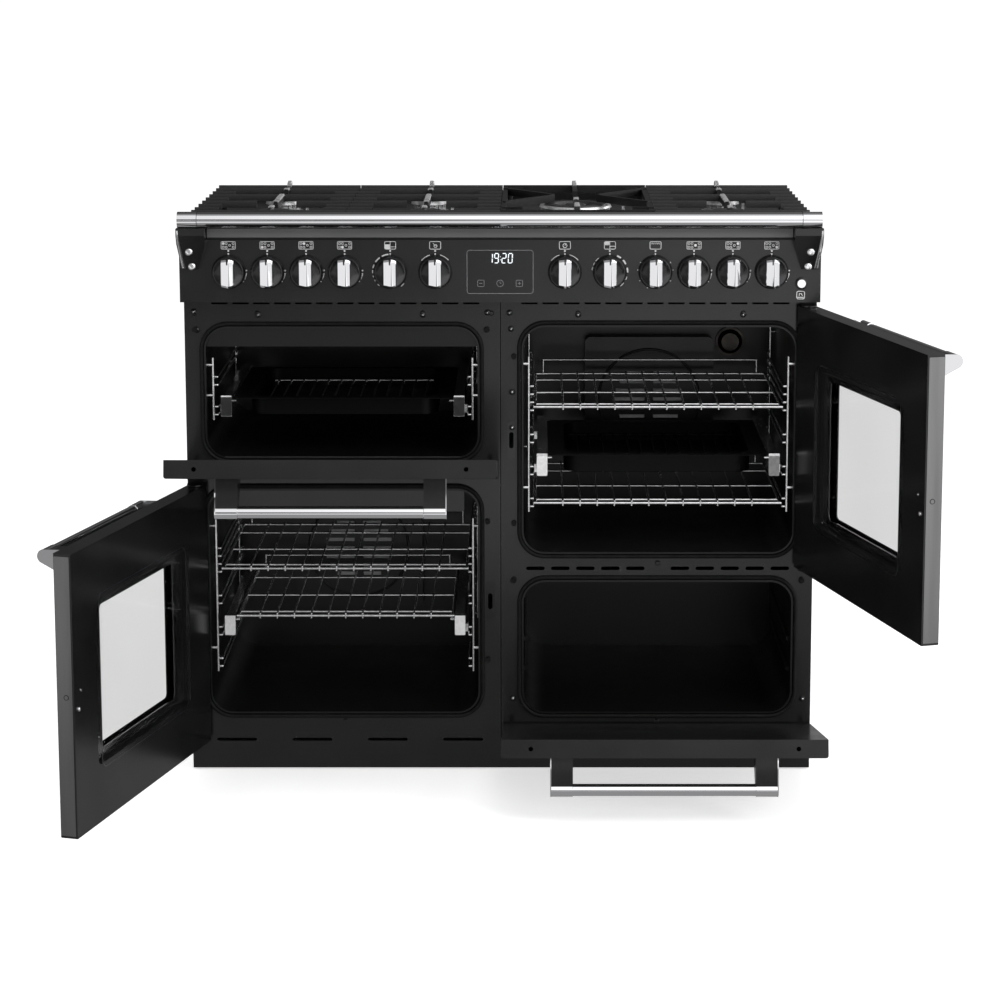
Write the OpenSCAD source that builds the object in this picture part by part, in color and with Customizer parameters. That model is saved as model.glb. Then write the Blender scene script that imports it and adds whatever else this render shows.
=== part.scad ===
// Range cooker: gas hob with seven burners, grill, two large ovens and a slow oven.
// Origin on the floor under the middle of the cabinet, +X right, front towards -Y, +Z up.
// It is drawn with its four doors open against their stops.

/* [Cabinet] */
// Width of the cabinet
body_w = 995; // [960:5:1060]
// Depth of the cabinet from the front frames to the rear panel
body_d = 560; // [540:5:620]
// Top of the plinth
plinth_h = 37; // [34:1:44]
// Height of the levelling feet under the plinth
foot_gap = 3; // [2:1:8]
// Diameter of a levelling foot
foot_d = 44; // [36:2:60]
// Sheet thickness of the cabinet
sheet_t = 2; // [1.5:0.5:3]
// Front return flange of a side panel
side_flange = 10.5; // [8:0.5:14]

/* [Doors] */
// Thickness of every door
door_t = 28; // [24:1:32]
// Bottom of the lower doors above the floor
door_lift = 54; // [48:1:60]
// Height of the two large doors
large_door_h = 419; // [410:1:424]
// Height of the two small doors
small_door_h = 274.5; // [268:0.5:280]
// Gap between the left and right doors
door_gap = 6; // [4:1:10]
// Gap between an upper and a lower door
door_split = 11.5; // [11:0.5:14]
// Space between a front frame and a closed door
door_standoff = 9; // [8.5:0.5:11]
// Hinge axis in from the door's edge and its inner face
pivot_in = 14; // [12:0.5:14]
// Angle of an open side-hung door
swing_open = 106; // [60:1:110]
// Angle of an open drop-down door
drop_open = 78; // [60:1:80]
// Sheet thickness of a door shell
door_sheet = 1.6; // [1.2:0.2:2.4]
// Diameter of a hinge pin
pin_d = 7; // [6:0.5:8]
// Radial clearance of a running fit
run_fit = 0.05; // [0.02:0.01:0.09]
// Width of the window in a large door
window_w = 266; // [220:2:280]
// Height of the window in a large door
window_h = 216; // [180:2:230]
// Width of the pressed recess round a window
recess_w = 346; // [320:2:370]
// Height of the pressed recess round a window
recess_h = 250; // [240:1:290]

/* [Handles] */
// Length of a door handle
handle_l = 345; // [300:5:380]
// Diameter of a handle's bar
bar_d = 18.5; // [16:0.5:20]
// Diameter of a handle's end collars
collar_d = 20.5; // [18:0.5:22]
// Length of a handle's end collars
collar_l = 34; // [28:1:40]
// Handle axis in front of the door's face
handle_out = 50; // [42:1:50]
// Handle axis below the door's top edge
handle_drop = 24.5; // [22:0.5:28]

/* [Ovens] */
// Inside width of every cavity
cavity_w = 428; // [400:2:430]
// Inside depth of every cavity
cavity_d = 400; // [380:5:410]
// Corner radius of a cavity's mouth
cavity_r = 34; // [26:1:40]
// Wall thickness of a cavity
cavity_t = 1.6; // [1.2:0.2:2]
// Height of the grill's door over the inside height of the grill
grill_margin = 68.5; // [64:0.5:74]
// Height of the left oven's door over the inside height of the oven
left_oven_margin = 55; // [51:1:62]
// Height of the right oven's door over the inside height of the oven
right_oven_margin = 56; // [51:1:62]
// Height of the slow oven's door over the inside height of the oven
slow_oven_margin = 60.5; // [54:0.5:66]
// Diameter of the seal round each mouth
seal_d = 6; // [5:0.5:6.5]
// Diameter of the shelf wires
wire_d = 4; // [3:0.5:4.5]
// Diameter of a shelf's front bar
front_bar_d = 5; // [4.5:0.5:6]
// Height between the two wires of a shelf level
wire_step = 13; // [12:0.5:15]

/* [Control panel] */
// Overhang of the control panel at each side of the cabinet
fascia_over = 2.5; // [0:0.5:5]
// Height of the control panel
fascia_h = 101; // [98:1:106]
// Depth of the control panel in front of the frames
fascia_d = 28; // [24:1:34]
// Gap between the upper doors and the control panel
fascia_gap = 8; // [6:1:10]
// Diameter of a knob's skirt
knob_d = 53; // [44:1:56]
// Depth of a knob's skirt
knob_skirt = 9; // [7:1:12]
// Whole depth of a knob
knob_depth = 27; // [24:1:32]
// Width of a knob's grip
grip_w = 20; // [16:1:24]
// Diameter of a control shaft
shaft_d = 8; // [6:0.5:9]
// Width of the clock display
clock_w = 103; // [90:1:106]
// Height of the clock display
clock_h = 68; // [50:1:72]
// Diameter of the push button
button_d = 13; // [10:0.5:14]

/* [Rail] */
// Diameter of the front rail
rail_d = 24; // [20:1:26]
// Front rail axis in front of the frames
rail_out = 60; // [56:1:66]
// Front rail axis above the floor
rail_z = 900; // [896:1:904]
// Length of a rail end collar
rail_collar_l = 30; // [24:1:40]

/* [Hob] */
// Height of the hob's front edge over the control panel
hob_edge_h = 15; // [12:1:18]
// Top of the pan supports over the hob deck
support_h = 37; // [34:1:42]
// Gap between two pan supports
support_gap = 1; // [0.5:0.5:3]
// Depth of one pan support
support_d = 396; // [380:2:420]
// Thickness of a pan support's bars
bar_t = 8; // [6:0.5:10]
// Diameter of a standard burner's cap
burner_d = 58; // [46:1:70]
// Diameter of the wok burner's outer cap
wok_d = 126; // [110:2:136]

/* [Services] */
// Diameter of the oven fans
fan_d = 120; // [100:2:150]
// Diameter of a fan motor's shaft
fan_shaft_d = 8; // [6:0.5:10]
// Outside diameter of the gas inlet
gas_inlet_d = 21; // [18:0.5:24]
// Length of the gas inlet behind the rear panel
gas_inlet_l = 30; // [20:1:40]
// Bore of the mains cable inlet
cable_bore_d = 14; // [10:0.5:18]
// Distance between the stability fixing holes
fixing_pitch = 620; // [500:10:800]
// Diameter of a stability fixing hole
fixing_d = 7; // [5:0.5:9]

/* [Hidden] */
$fn = 48;
seat = 0.2;
inner_w = body_w - 2*sheet_t - 1;
fascia_w = body_w + 2*fascia_over;
grill_h = small_door_h - grill_margin;
left_oven_h = large_door_h - left_oven_margin;
right_oven_h = large_door_h - right_oven_margin;
slow_oven_h = small_door_h - slow_oven_margin;
front_y = -body_d/2;
rear_y = body_d/2;
door_w = (body_w - door_gap)/2;
column_x = door_gap/2 + door_w/2;
door_in_y = front_y - door_standoff;
pivot_y = door_in_y - pivot_in;
pivot_x = body_w/2 - pivot_in;
upper_large_z = door_lift + small_door_h + door_split;
upper_small_z = door_lift + large_door_h + door_split;
door_top = door_lift + small_door_h + large_door_h + door_split;
fascia_z = door_top + fascia_gap;
fascia_y = front_y - fascia_d;
fascia_top = fascia_z + fascia_h;
deck_z = fascia_top;
left_oven_z = door_lift + 44;
slow_oven_z = door_lift + 44;
grill_z = upper_small_z + 31.5;
right_oven_z = upper_large_z + 21;
pin_r = pin_d/2;
hole_r = pin_r + run_fit;
knob_y = fascia_y - 1.2;
knob_z = fascia_z + 48;
knob_spacing = [for (share = [0.101, 0.171, 0.242, 0.302, 0.3625, 0.423]) share*fascia_w];
rack_wire = 15;
rack_post = 8;
post_d = wire_d + 1;
rack_top_gap = 50;
rack_front = front_y + 18;
rack_back = front_y + cavity_d - 46;
levels = [70, 122, 174, 226, 252];
grill_levels = [64, 112];
runner_in = 21;
runner_w = 17;
runner_h = 32;
ledge_t = 2;
ledge_w = 9;
left_runner = 124;
right_runner = 126;
grill_runner = 63;
fan_y = front_y + cavity_d - 17;
cover_gap = 29;
cover_w = 220;
cover_h = 214;
element_y = front_y + cavity_d/2 + 5;
support_w = (fascia_w - 24)/4 - support_gap;
support_y = -50;
wok_x = (support_w + support_gap)/2;
burner_front = -150;
burner_rear = 40;
wok_y = -5;
crown_h = 15;
bar_h = 12;
button_x = fascia_w/2 - 30;
button_z = fascia_z + 30;
manifold_y = front_y + 34;
pipe_d = 15;
gas_x = -330;
cable_x = 330;
cable_z = plinth_h + 60;
gland_d = cable_bore_d + 10;
hob_rail_h = 12;
partition_x = -4;
rear_vent_z = 460;
rear_vent_h = 120;
lip_t = 2.8;
mouth_lip = cavity_t + 2.2;
seal_out = 2*mouth_lip + 0.6 + seal_d;
shelf_w = cavity_w - 2*(rack_wire + 2.5 - front_bar_d/2) - 2;
ride_w = cavity_w - 2*(runner_in + runner_w) - 2;
rod_pitch = 27.5;
shelf_seat = wire_d/2 + front_bar_d/2 + seat;
ledge_top = runner_h - 8 + ledge_t;
pan_d = rack_back - rack_front - 36;
basin_w = ride_w - 54;
trivet_pitch = 21;

// ---------- shared shapes ----------

// Rounded rectangle, centred
module rounded(w, h, r) {
    square([w - 2*r, h], center = true);
    square([w, h - 2*r], center = true);
    for (sx = [-1, 1], sy = [-1, 1])
        translate([sx*(w/2 - r), sy*(h/2 - r)]) circle(r);
}

// Turns a flat outline up into the XZ plane, its thickness towards +Y
module upright(t) {
    translate([0, t, 0]) rotate([90, 0, 0]) linear_extrude(height = t) children();
}

// Profile (x outwards, y towards the front) carried round a rounded rectangle in the XZ plane
module swept_ring(w, h, r) {
    rotate([90, 0, 0])
        for (i = [0:3])
            rotate([0, 0, 90*i]) {
                side = i % 2 == 0 ? w : h;
                run = i % 2 == 0 ? h : w;
                translate([side/2, 0, 0]) rotate([90, 0, 0])
                    linear_extrude(height = run - 2*r, center = true) children();
                translate([side/2 - r, run/2 - r, 0])
                    rotate_extrude(angle = 90) translate([r, 0]) children();
            }
}

// Round bar between two points that differ along one axis
module wire(a, b, d) {
    v = b - a;
    l = norm(v);
    turn = abs(v.x) > abs(v.y) && abs(v.x) > abs(v.z) ? [0, 90, 0] :
        abs(v.y) > abs(v.z) ? [-90, 0, 0] : [0, 0, 0];
    start = v.x + v.y + v.z < 0 ? b : a;
    translate(start) rotate(turn) cylinder(d = d, h = l, $fn = 24);
}

// Wire bent round square corners, with a ball at each bend
module bent_wire(points, d) {
    for (i = [0:len(points) - 2]) wire(points[i], points[i + 1], d);
    for (i = [1:len(points) - 2]) translate(points[i]) sphere(d = d, $fn = 24);
}

// Both sides of an oven: its children once as drawn for the left wall, once mirrored
module both_walls(x) {
    for (side = [0, 1]) translate([x, 0, 0]) mirror([side, 0, 0]) translate([-cavity_w/2, 0, 0]) children();
}

// ---------- cabinet ----------

module side_panels() {
    color([0.05, 0.05, 0.055])
    for (side = [0, 1]) mirror([side, 0, 0])
        translate([-body_w/2, 0, plinth_h]) {
            h = fascia_top - plinth_h;
            translate([0, front_y, 0]) cube([sheet_t, body_d - sheet_t, h]);
            translate([0, front_y, 0]) cube([side_flange, sheet_t, h]);
            translate([0, rear_y - 2*sheet_t, 0]) cube([22, sheet_t, h]);
            translate([0, front_y + sheet_t, 0]) cube([22, body_d - 2*sheet_t, sheet_t]);
        }
}

// Levelling foot with its stem up to the base tray
module foot(x, y) {
    translate([x, y, 0]) {
        cylinder(d = foot_d, h = 8);
        cylinder(d = 12, h = plinth_h + sheet_t - seat);
    }
}

// Zinc-coated rear panel with vents, wall fixing holes and the holes for gas and mains
module rear_panel() {
    difference() {
        translate([-body_w/2, rear_y - sheet_t, plinth_h]) cube([body_w, sheet_t, deck_z - plinth_h]);
        for (side = [-1, 1]) rear_hole(side*fixing_pitch/2, deck_z - 36, fixing_d);
        rear_hole(gas_x, knob_z, gas_inlet_d + 3);
        rear_hole(cable_x, cable_z, gland_d + 2*seat);
        for (side = [-1, 1], i = [-4.5:4.5])
            translate([side*column_x + 32*i - 4, rear_y - sheet_t - 1, rear_vent_z])
                cube([8, sheet_t + 2, rear_vent_h]);
    }
}

module rear_hole(x, z, d) {
    translate([x, rear_y + 1, z]) rotate([90, 0, 0]) cylinder(d = d, h = sheet_t + 2);
}

// Channel section along X, open below
module channel(x0, x1, y, z, w, h) {
    translate([x0, y, z]) difference() {
        cube([x1 - x0, w, h]);
        translate([-1, sheet_t, -sheet_t]) cube([x1 - x0 + 2, w - 2*sheet_t, h]);
    }
}

module chassis() {
    tray_top = plinth_h + 2*sheet_t;
    color([0.62, 0.64, 0.66]) {
        rear_panel();
        // gland sleeve of the mains inlet
        translate([cable_x, rear_y + 12, cable_z]) rotate([90, 0, 0]) difference() {
            cylinder(d = gland_d, h = 12 + sheet_t);
            translate([0, 0, -1]) cylinder(d = cable_bore_d, h = 14 + sheet_t);
        }
        // base tray on the side panels' bottom flanges
        translate([-inner_w/2, front_y + 2*sheet_t, tray_top - sheet_t])
            cube([inner_w, body_d - 4*sheet_t - seat, sheet_t]);
        // partition between the two columns of ovens
        difference() {
            translate([partition_x - sheet_t/2, front_y + sheet_t, tray_top + seat])
                cube([sheet_t, body_d - 2*sheet_t - seat, deck_z - hob_rail_h - 2*seat - tray_top]);
            translate([partition_x - 16, manifold_y, knob_z]) rotate([0, 90, 0])
                cylinder(d = pipe_d + 5, h = 40);
        }
        // rails that carry the hob
        for (y = [front_y + 48, rear_y - 72])
            channel(-inner_w/2, inner_w/2, y, deck_z - hob_rail_h, 24, hob_rail_h);
        // a bearer under each cavity
        for (z = [left_oven_z, grill_z])
            channel(-inner_w/2, partition_x - sheet_t/2 - seat, 40, z - cavity_t - seat - 14, 30, 14);
        for (z = [slow_oven_z, right_oven_z])
            channel(partition_x + sheet_t/2 + seat, inner_w/2, 40, z - cavity_t - seat - 14, 30, 14);
        for (x = [-1, 1], y = [front_y + 55, rear_y - 45]) foot(x*(body_w/2 - 60), y);
        foot(0, 0);
    }
}

// Row of slots, each as long as the stated share of their pitch
module vent_row(x, z, count, pitch, share, h) {
    for (i = [0:count - 1])
        translate([x + (i - (count - 1)/2)*pitch, front_y - 1, z]) upright(sheet_t + 2)
            rounded(pitch*share, h, h/2 - 0.01);
}

module front_frames() {
    frame_w = body_w/2 - side_flange - 0.5;
    frame_x = frame_w/2 + 0.5;
    color([0.03, 0.03, 0.035])
    difference() {
        union() {
            front_frame(-frame_x, frame_w, -column_x, [[left_oven_z, left_oven_h], [grill_z, grill_h]]);
            front_frame(frame_x, frame_w, column_x,
                [[slow_oven_z, slow_oven_h], [right_oven_z, right_oven_h]]);
        }
        for (x = [-frame_x, frame_x]) {
            vent_row(x, fascia_z - 5, 13, frame_w*0.0678, 0.79, 4);
            vent_row(x, plinth_h + 14, 4, frame_w*0.25, 0.525, 5);
        }
        for (side = [-1, 1])
            vent_row(column_x + side*frame_w*0.237, upper_large_z - 6, 5, frame_w*0.082, 0.74, 6);
        // slots for the door catches
        for (p = [[-17, left_oven_z + left_oven_h/2], [17, right_oven_z + right_oven_h/2]])
            translate([p.x, front_y - 1, p.y]) upright(sheet_t + 2) rounded(7, 26, 3.4);
    }
}

// One enamelled sheet with a mouth for each of its two cavities, [bottom, height]
module front_frame(x, w, mouth_x, mouths) {
    difference() {
        translate([x - w/2, front_y, plinth_h]) cube([w, sheet_t, fascia_z - plinth_h]);
        for (m = mouths)
            translate([mouth_x, front_y - 1, m[0] + m[1]/2]) upright(sheet_t + 2)
                rounded(cavity_w + 2*cavity_t + 1, m[1] + 2*cavity_t + 1, cavity_r + cavity_t + 0.5);
    }
}

module plinth() {
    color([0.05, 0.05, 0.055]) {
        translate([-body_w/2, front_y + 2, foot_gap]) cube([body_w, sheet_t, plinth_h - foot_gap - 0.5]);
        for (side = [0, 1]) mirror([side, 0, 0])
            translate([-body_w/2, front_y + 2, foot_gap])
                cube([sheet_t, body_d - 30, plinth_h - foot_gap - 0.5]);
        translate([-body_w/2, front_y + 2, plinth_h - 0.5 - sheet_t]) cube([body_w, 18, sheet_t]);
    }
}

// ---------- cavities ----------

// Pressed oven liner with a rolled lip round its mouth
module cavity(x, z, h) {
    out_w = cavity_w + 2*cavity_t;
    out_h = h + 2*cavity_t;
    translate([x, front_y, z + h/2]) {
        difference() {
            upright(cavity_d + cavity_t) rounded(out_w, out_h, cavity_r + cavity_t);
            translate([0, -1, 0]) upright(cavity_d + 1) rounded(cavity_w, h, cavity_r);
            children();
        }
        swept_ring(cavity_w, h, cavity_r) {
            square([mouth_lip, lip_t/2]);
            translate([mouth_lip - lip_t/2, lip_t/2]) circle(lip_t/2, $fn = 24);
            square([mouth_lip - lip_t/2, lip_t]);
        }
    }
}

module grill_cavity() {
    color([0.04, 0.04, 0.045]) {
        cavity(-column_x, grill_z, grill_h);
        // heat deflector under the mouth's upper edge
        translate([-column_x, front_y + 5, grill_z + grill_h]) intersection() {
            translate([-cavity_w, 0, -30]) cube([2*cavity_w, 1.2, 30 + cavity_t]);
            translate([0, -1, -grill_h/2]) upright(4)
                rounded(cavity_w + cavity_t, grill_h + cavity_t, cavity_r + cavity_t/2);
        }
    }
}

module fan_hole() {
    translate([0, cavity_d - 1, 0]) upright(cavity_t + 2) circle(fan_shaft_d/2 + 4);
}

module left_oven_cavity() {
    color([0.04, 0.04, 0.045]) cavity(-column_x, left_oven_z, left_oven_h) fan_hole();
}

module right_oven_cavity() {
    color([0.04, 0.04, 0.045]) cavity(column_x, right_oven_z, right_oven_h) fan_hole();
}

module slow_oven_cavity() {
    color([0.04, 0.04, 0.045]) {
        cavity(column_x, slow_oven_z, slow_oven_h);
        // pressed runner ribs on both walls
        translate([0, 0, slow_oven_z]) both_walls(column_x)
            for (z = [60, 110]) translate([0, front_y + 40, z]) rotate([-90, 0, 0]) difference() {
                cylinder(r = 4, h = cavity_d - 90);
                translate([-8 - cavity_t/2, -8, -1]) cube([8, 16, cavity_d]);
            }
    }
}

// One shelf level: a pair of bearer wires held by the front and rear posts
module rack_level(z) {
    start = rack_post + post_d/2 + seat;
    for (dz = [0, wire_step])
        bent_wire([[start, rack_front, z + dz], [rack_wire, rack_front, z + dz],
            [rack_wire, rack_back, z + dz], [start, rack_back, z + dz]], wire_d);
}

module side_rack(x, z0, zs, top) {
    translate([0, 0, z0]) both_walls(x) {
        for (y = [rack_front, rack_back]) {
            wire([rack_post, y, zs[0] - 8], [rack_post, y, top], post_d);
            for (z = [zs[0] + 31, top - 12]) wire([0, y, z], [rack_post, y, z], 6);
        }
        for (z = zs) rack_level(z);
    }
}

// Telescopic runner hooked on the two wires of one level; its ledge carries the rim of a pan
module runner(x, z, level) {
    translate([0, 0, z]) both_walls(x) {
        translate([runner_in + 1, rack_front - 6, 2]) difference() {
            cube([runner_w - 2, rack_back - rack_front, runner_h - 4]);
            translate([2, -1, 2]) cube([runner_w - 6, rack_back - rack_front + 2, runner_h - 8]);
        }
        translate([runner_in, rack_front - 9, 0]) cube([runner_w, 3, runner_h]);
        translate([runner_in + runner_w - 2, rack_front - 6, runner_h - 8])
            cube([ledge_w, rack_back - rack_front, ledge_t]);
        for (y = [rack_front + 20, rack_back - 40])
            translate([rack_wire + wire_d/2 + seat, y, level])
                cube([runner_in + 2 - rack_wire - wire_d/2 - seat, 16, wire_step]);
    }
}

module side_racks() {
    color([0.8, 0.81, 0.82]) {
        side_rack(-column_x, left_oven_z, levels, left_oven_h - rack_top_gap);
        side_rack(column_x, right_oven_z, levels, right_oven_h - rack_top_gap);
        side_rack(-column_x, grill_z, grill_levels, grill_h - rack_top_gap);
        runner(-column_x, left_oven_z + left_runner, levels[1] - left_runner);
        runner(column_x, right_oven_z + right_runner, levels[1] - right_runner);
        runner(-column_x, grill_z + grill_runner, grill_levels[0] - grill_runner);
    }
}

// Pressed cover in front of an oven fan, with louvre slots that follow a circle
module fan_cover() {
    slot_h = 5;
    pitch = 15;
    difference() {
        upright(cover_gap) rounded(cover_w, cover_h, 10);
        translate([0, sheet_t, 0]) upright(cover_gap) rounded(cover_w - 2*sheet_t, cover_h - 2*sheet_t, 8);
        for (row = [-3:3], side = [0, 1]) {
            reach = sqrt(60*60 - pow(row*pitch, 2)) - 8;
            mirror([side, 0, 0]) translate([7, -1, row*pitch - slot_h/2]) cube([reach, sheet_t + 2, slot_h]);
        }
        for (side = [-1, 1], row = [-3:3])
            translate([side*(cover_w/2) - sheet_t - 1, 10, row*26 - 8]) cube([2*sheet_t + 2, 10, 16]);
    }
    // raised ring round the louvres
    rotate([90, 0, 0]) rotate_extrude($fn = 96) translate([86, 0]) difference() {
        circle(2.4, $fn = 24);
        translate([-4, -5]) square([8, 5]);
    }
}

module fan_covers() {
    color([0.07, 0.07, 0.075])
    for (c = [[-column_x, left_oven_z + left_oven_h/2], [column_x, right_oven_z + right_oven_h/2]])
        translate([c.x, front_y + cavity_d - cover_gap, c.y]) fan_cover();
}

module fan(x, z) {
    color([0.75, 0.76, 0.78])
    translate([x, fan_y, z]) rotate([90, 0, 0]) difference() {
        union() {
            translate([0, 0, -9]) cylinder(d = fan_d, h = 1.5);
            translate([0, 0, -9]) cylinder(d = 20, h = 16);
            for (i = [0:11]) rotate([0, 0, 30*i]) translate([24, -0.6, -8.5]) cube([fan_d/2 - 25, 1.2, 15]);
        }
        translate([0, 0, -10]) cylinder(d = fan_shaft_d + 2*run_fit, h = 14);
    }
}

module left_fan() fan(-column_x, left_oven_z + left_oven_h/2);
module right_fan() fan(column_x, right_oven_z + right_oven_h/2);

// Fan motor behind the rear wall, its shaft through the wall into the fan
module fan_motor(x, z) {
    wall_y = front_y + cavity_d + cavity_t;
    translate([x, 0, z]) {
        translate([0, wall_y + 45, 0]) rotate([90, 0, 0]) cylinder(d = 70, h = 44);
        translate([0, wall_y + 3, 0]) upright(2) rounded(100, 40, 6);
        for (side = [-1, 1])
            translate([side*42, wall_y + 3, 0]) rotate([90, 0, 0]) cylinder(d = 8, h = 3 - seat);
        translate([0, wall_y + 20, 0]) rotate([90, 0, 0])
            cylinder(d = fan_shaft_d, h = wall_y + 20 - (fan_y - 3.5));
        // heating ring round the fan, on two stems through the rear wall
        translate([0, fan_y + 2, 0]) rotate([90, 0, 0]) rotate_extrude($fn = 96)
            translate([fan_d/2 + 14, 0]) circle(3.2, $fn = 24);
        for (side = [-1, 1]) translate([side*20, fan_y + 2, -sqrt(pow(fan_d/2 + 14, 2) - 400)])
            rotate([-90, 0, 0]) cylinder(d = 6, h = wall_y - fan_y - 2 - cavity_t);
    }
}

// Grill element: three long loops under the roof
module grill_element() {
    z = grill_z + grill_h - 22;
    for (i = [0:2]) {
        w = 330 - 100*i;
        d = 290 - 60*i;
        translate([-column_x, element_y, z]) loop_rod(w, d, 34 - 8*i, 3.6);
    }
    for (i = [0:2], side = [-1, 1])
        translate([-column_x + side*30, element_y + (145 - 30*i)*side, z])
            cylinder(d = 5, h = 22 - seat);
}

module loop_rod(w, d, r, rod_r) {
    for (i = [0:3]) rotate([0, 0, 90*i]) {
        side = i % 2 == 0 ? w : d;
        run = i % 2 == 0 ? d : w;
        translate([side/2, 0, 0]) rotate([90, 0, 0])
            linear_extrude(height = run - 2*r, center = true) circle(rod_r, $fn = 24);
        translate([side/2 - r, run/2 - r, 0])
            rotate_extrude(angle = 90) translate([r, 0]) circle(rod_r, $fn = 24);
    }
}

module heaters_and_motors() {
    color([0.5, 0.5, 0.52]) {
        fan_motor(-column_x, left_oven_z + left_oven_h/2);
        fan_motor(column_x, right_oven_z + right_oven_h/2);
        grill_element();
        // lamp in the right oven's rear wall
        for (c = [[-column_x, left_oven_z + left_oven_h/2], [column_x, right_oven_z + right_oven_h/2]])
            translate([c.x + 140, front_y + cavity_d, c.y + 96]) rotate([90, 0, 0]) {
                cylinder(d = 50, h = 6);
                translate([0, 0, 6]) cylinder(d1 = 42, d2 = 30, h = 8);
            }
    }
}

// ---------- seals, brackets, screws ----------

module door_seals() {
    color([0.02, 0.02, 0.02]) {
        for (m = [[-column_x, left_oven_z, left_oven_h], [-column_x, grill_z, grill_h],
                [column_x, slow_oven_z, slow_oven_h], [column_x, right_oven_z, right_oven_h]])
            translate([m.x, front_y - seal_d/2, m.y + m[2]/2])
                swept_ring(cavity_w + seal_out, m[2] + seal_out, cavity_r + seal_out/2)
                    circle(seal_d/2, $fn = 24);
        for (b = buffers) translate([b.x, front_y, b.y]) rotate([90, 0, 0]) cylinder(d = 8, h = 6);
    }
}

// Buffers that a closed door meets: on the free side of the large doors, at the top of the small ones
buffers = [for (dz = [130, large_door_h - 62]) [-21, door_lift + dz],
    for (dz = [68, large_door_h - 82]) [21, upper_large_z + dz],
    for (x = [-body_w/2 + 17, -21]) [x, upper_small_z + small_door_h - 39],
    for (x = [body_w/2 - 17, 21]) [x, door_lift + small_door_h - 13]];

module screw(x, z) {
    translate([x, front_y, z]) rotate([90, 0, 0]) {
        cylinder(d = 8, h = 1.2);
        translate([0, 0, 1.2]) cylinder(d1 = 8, d2 = 5.5, h = 1.2);
    }
}

// Plate on the front frame that reaches over or under a side-hung door and holds its pin
module swing_bracket(z, up) {
    plate_t = 2.2;
    z0 = up ? z + 0.9 : z - 0.9 - plate_t;
    translate([pivot_x, 0, z0]) {
        translate([-12, pivot_y, 0]) cube([24, front_y - pivot_y, plate_t]);
        translate([0, pivot_y, 0]) cylinder(r = 12, h = plate_t);
        translate([0, pivot_y, up ? -12 : 0]) cylinder(r = pin_r, h = 12 + plate_t);
    }
}

// Ear on the front frame with the pin of a drop-down door
module drop_bracket(z) {
    for (side = [-1, 1])
        translate([column_x + side*(door_w/2 - pivot_in), pivot_y, z]) rotate([0, 90, 0]) {
            translate([0, 0, -2.5]) cylinder(r = 7.5, h = 5);
            translate([-7.5, 0, -2.5]) cube([15, front_y - pivot_y, 5]);
            translate([0, 0, -10.5]) cylinder(r = pin_r, h = 21);
        }
}

// Striker plate of a door catch
module striker(x, z) {
    translate([x, front_y - 1.2, z]) difference() {
        upright(1.2) rounded(13, 62, 4);
        translate([0, -1, 0]) upright(4) rounded(7, 26, 3.4);
    }
}

module hinge_brackets() {
    color([0.7, 0.71, 0.73]) {
        mirror([1, 0, 0]) {
            swing_bracket(door_lift + large_door_h, true);
            swing_bracket(door_lift, false);
        }
        swing_bracket(upper_large_z + large_door_h, true);
        swing_bracket(upper_large_z, false);
        drop_bracket(door_lift + pivot_in);
        mirror([1, 0, 0]) drop_bracket(upper_small_z + pivot_in);
        striker(-17, left_oven_z + left_oven_h/2);
        striker(17, right_oven_z + right_oven_h/2);
        for (side = [-1, 1], x = [14, column_x - 128, column_x + 132, body_w/2 - 15.5])
            screw(side*x, fascia_z - 21);
        screw(column_x, upper_large_z + 3);
        screw(column_x, door_lift + 28);
        screw(-column_x, door_lift + 28);
    }
}

// ---------- control panel ----------

module fascia_holes() {
    for (side = [-1, 1], x = knob_spacing)
        translate([side*x, fascia_y - 1, knob_z]) upright(sheet_t + 2) circle(shaft_d/2 + 1.5);
    translate([button_x, fascia_y - 1, button_z]) upright(sheet_t + 2) circle(button_d/2 + 0.4);
    translate([0, fascia_y - 1, knob_z]) upright(sheet_t + 2) rounded(clock_w - 8, clock_h - 8, 3);
    translate([0, fascia_y - 0.01, knob_z]) upright(1.01) rounded(clock_w + 0.6, clock_h + 0.6, 4.3);
}

module control_panel() {
    color([0.06, 0.06, 0.065])
    difference() {
        translate([-fascia_w/2, fascia_y, fascia_z]) cube([fascia_w, fascia_d, fascia_h]);
        translate([-fascia_w/2 + sheet_t, fascia_y + sheet_t, fascia_z + sheet_t])
            cube([fascia_w - 2*sheet_t, fascia_d, fascia_h - 2*sheet_t]);
        fascia_holes();
    }
}

module clock_display() {
    color([0.02, 0.02, 0.025]) {
        translate([0, fascia_y, knob_z]) upright(1) rounded(clock_w, clock_h, 4);
        translate([0, fascia_y + 1, knob_z]) upright(18) rounded(clock_w - 9, clock_h - 9, 3);
    }
}

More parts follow.
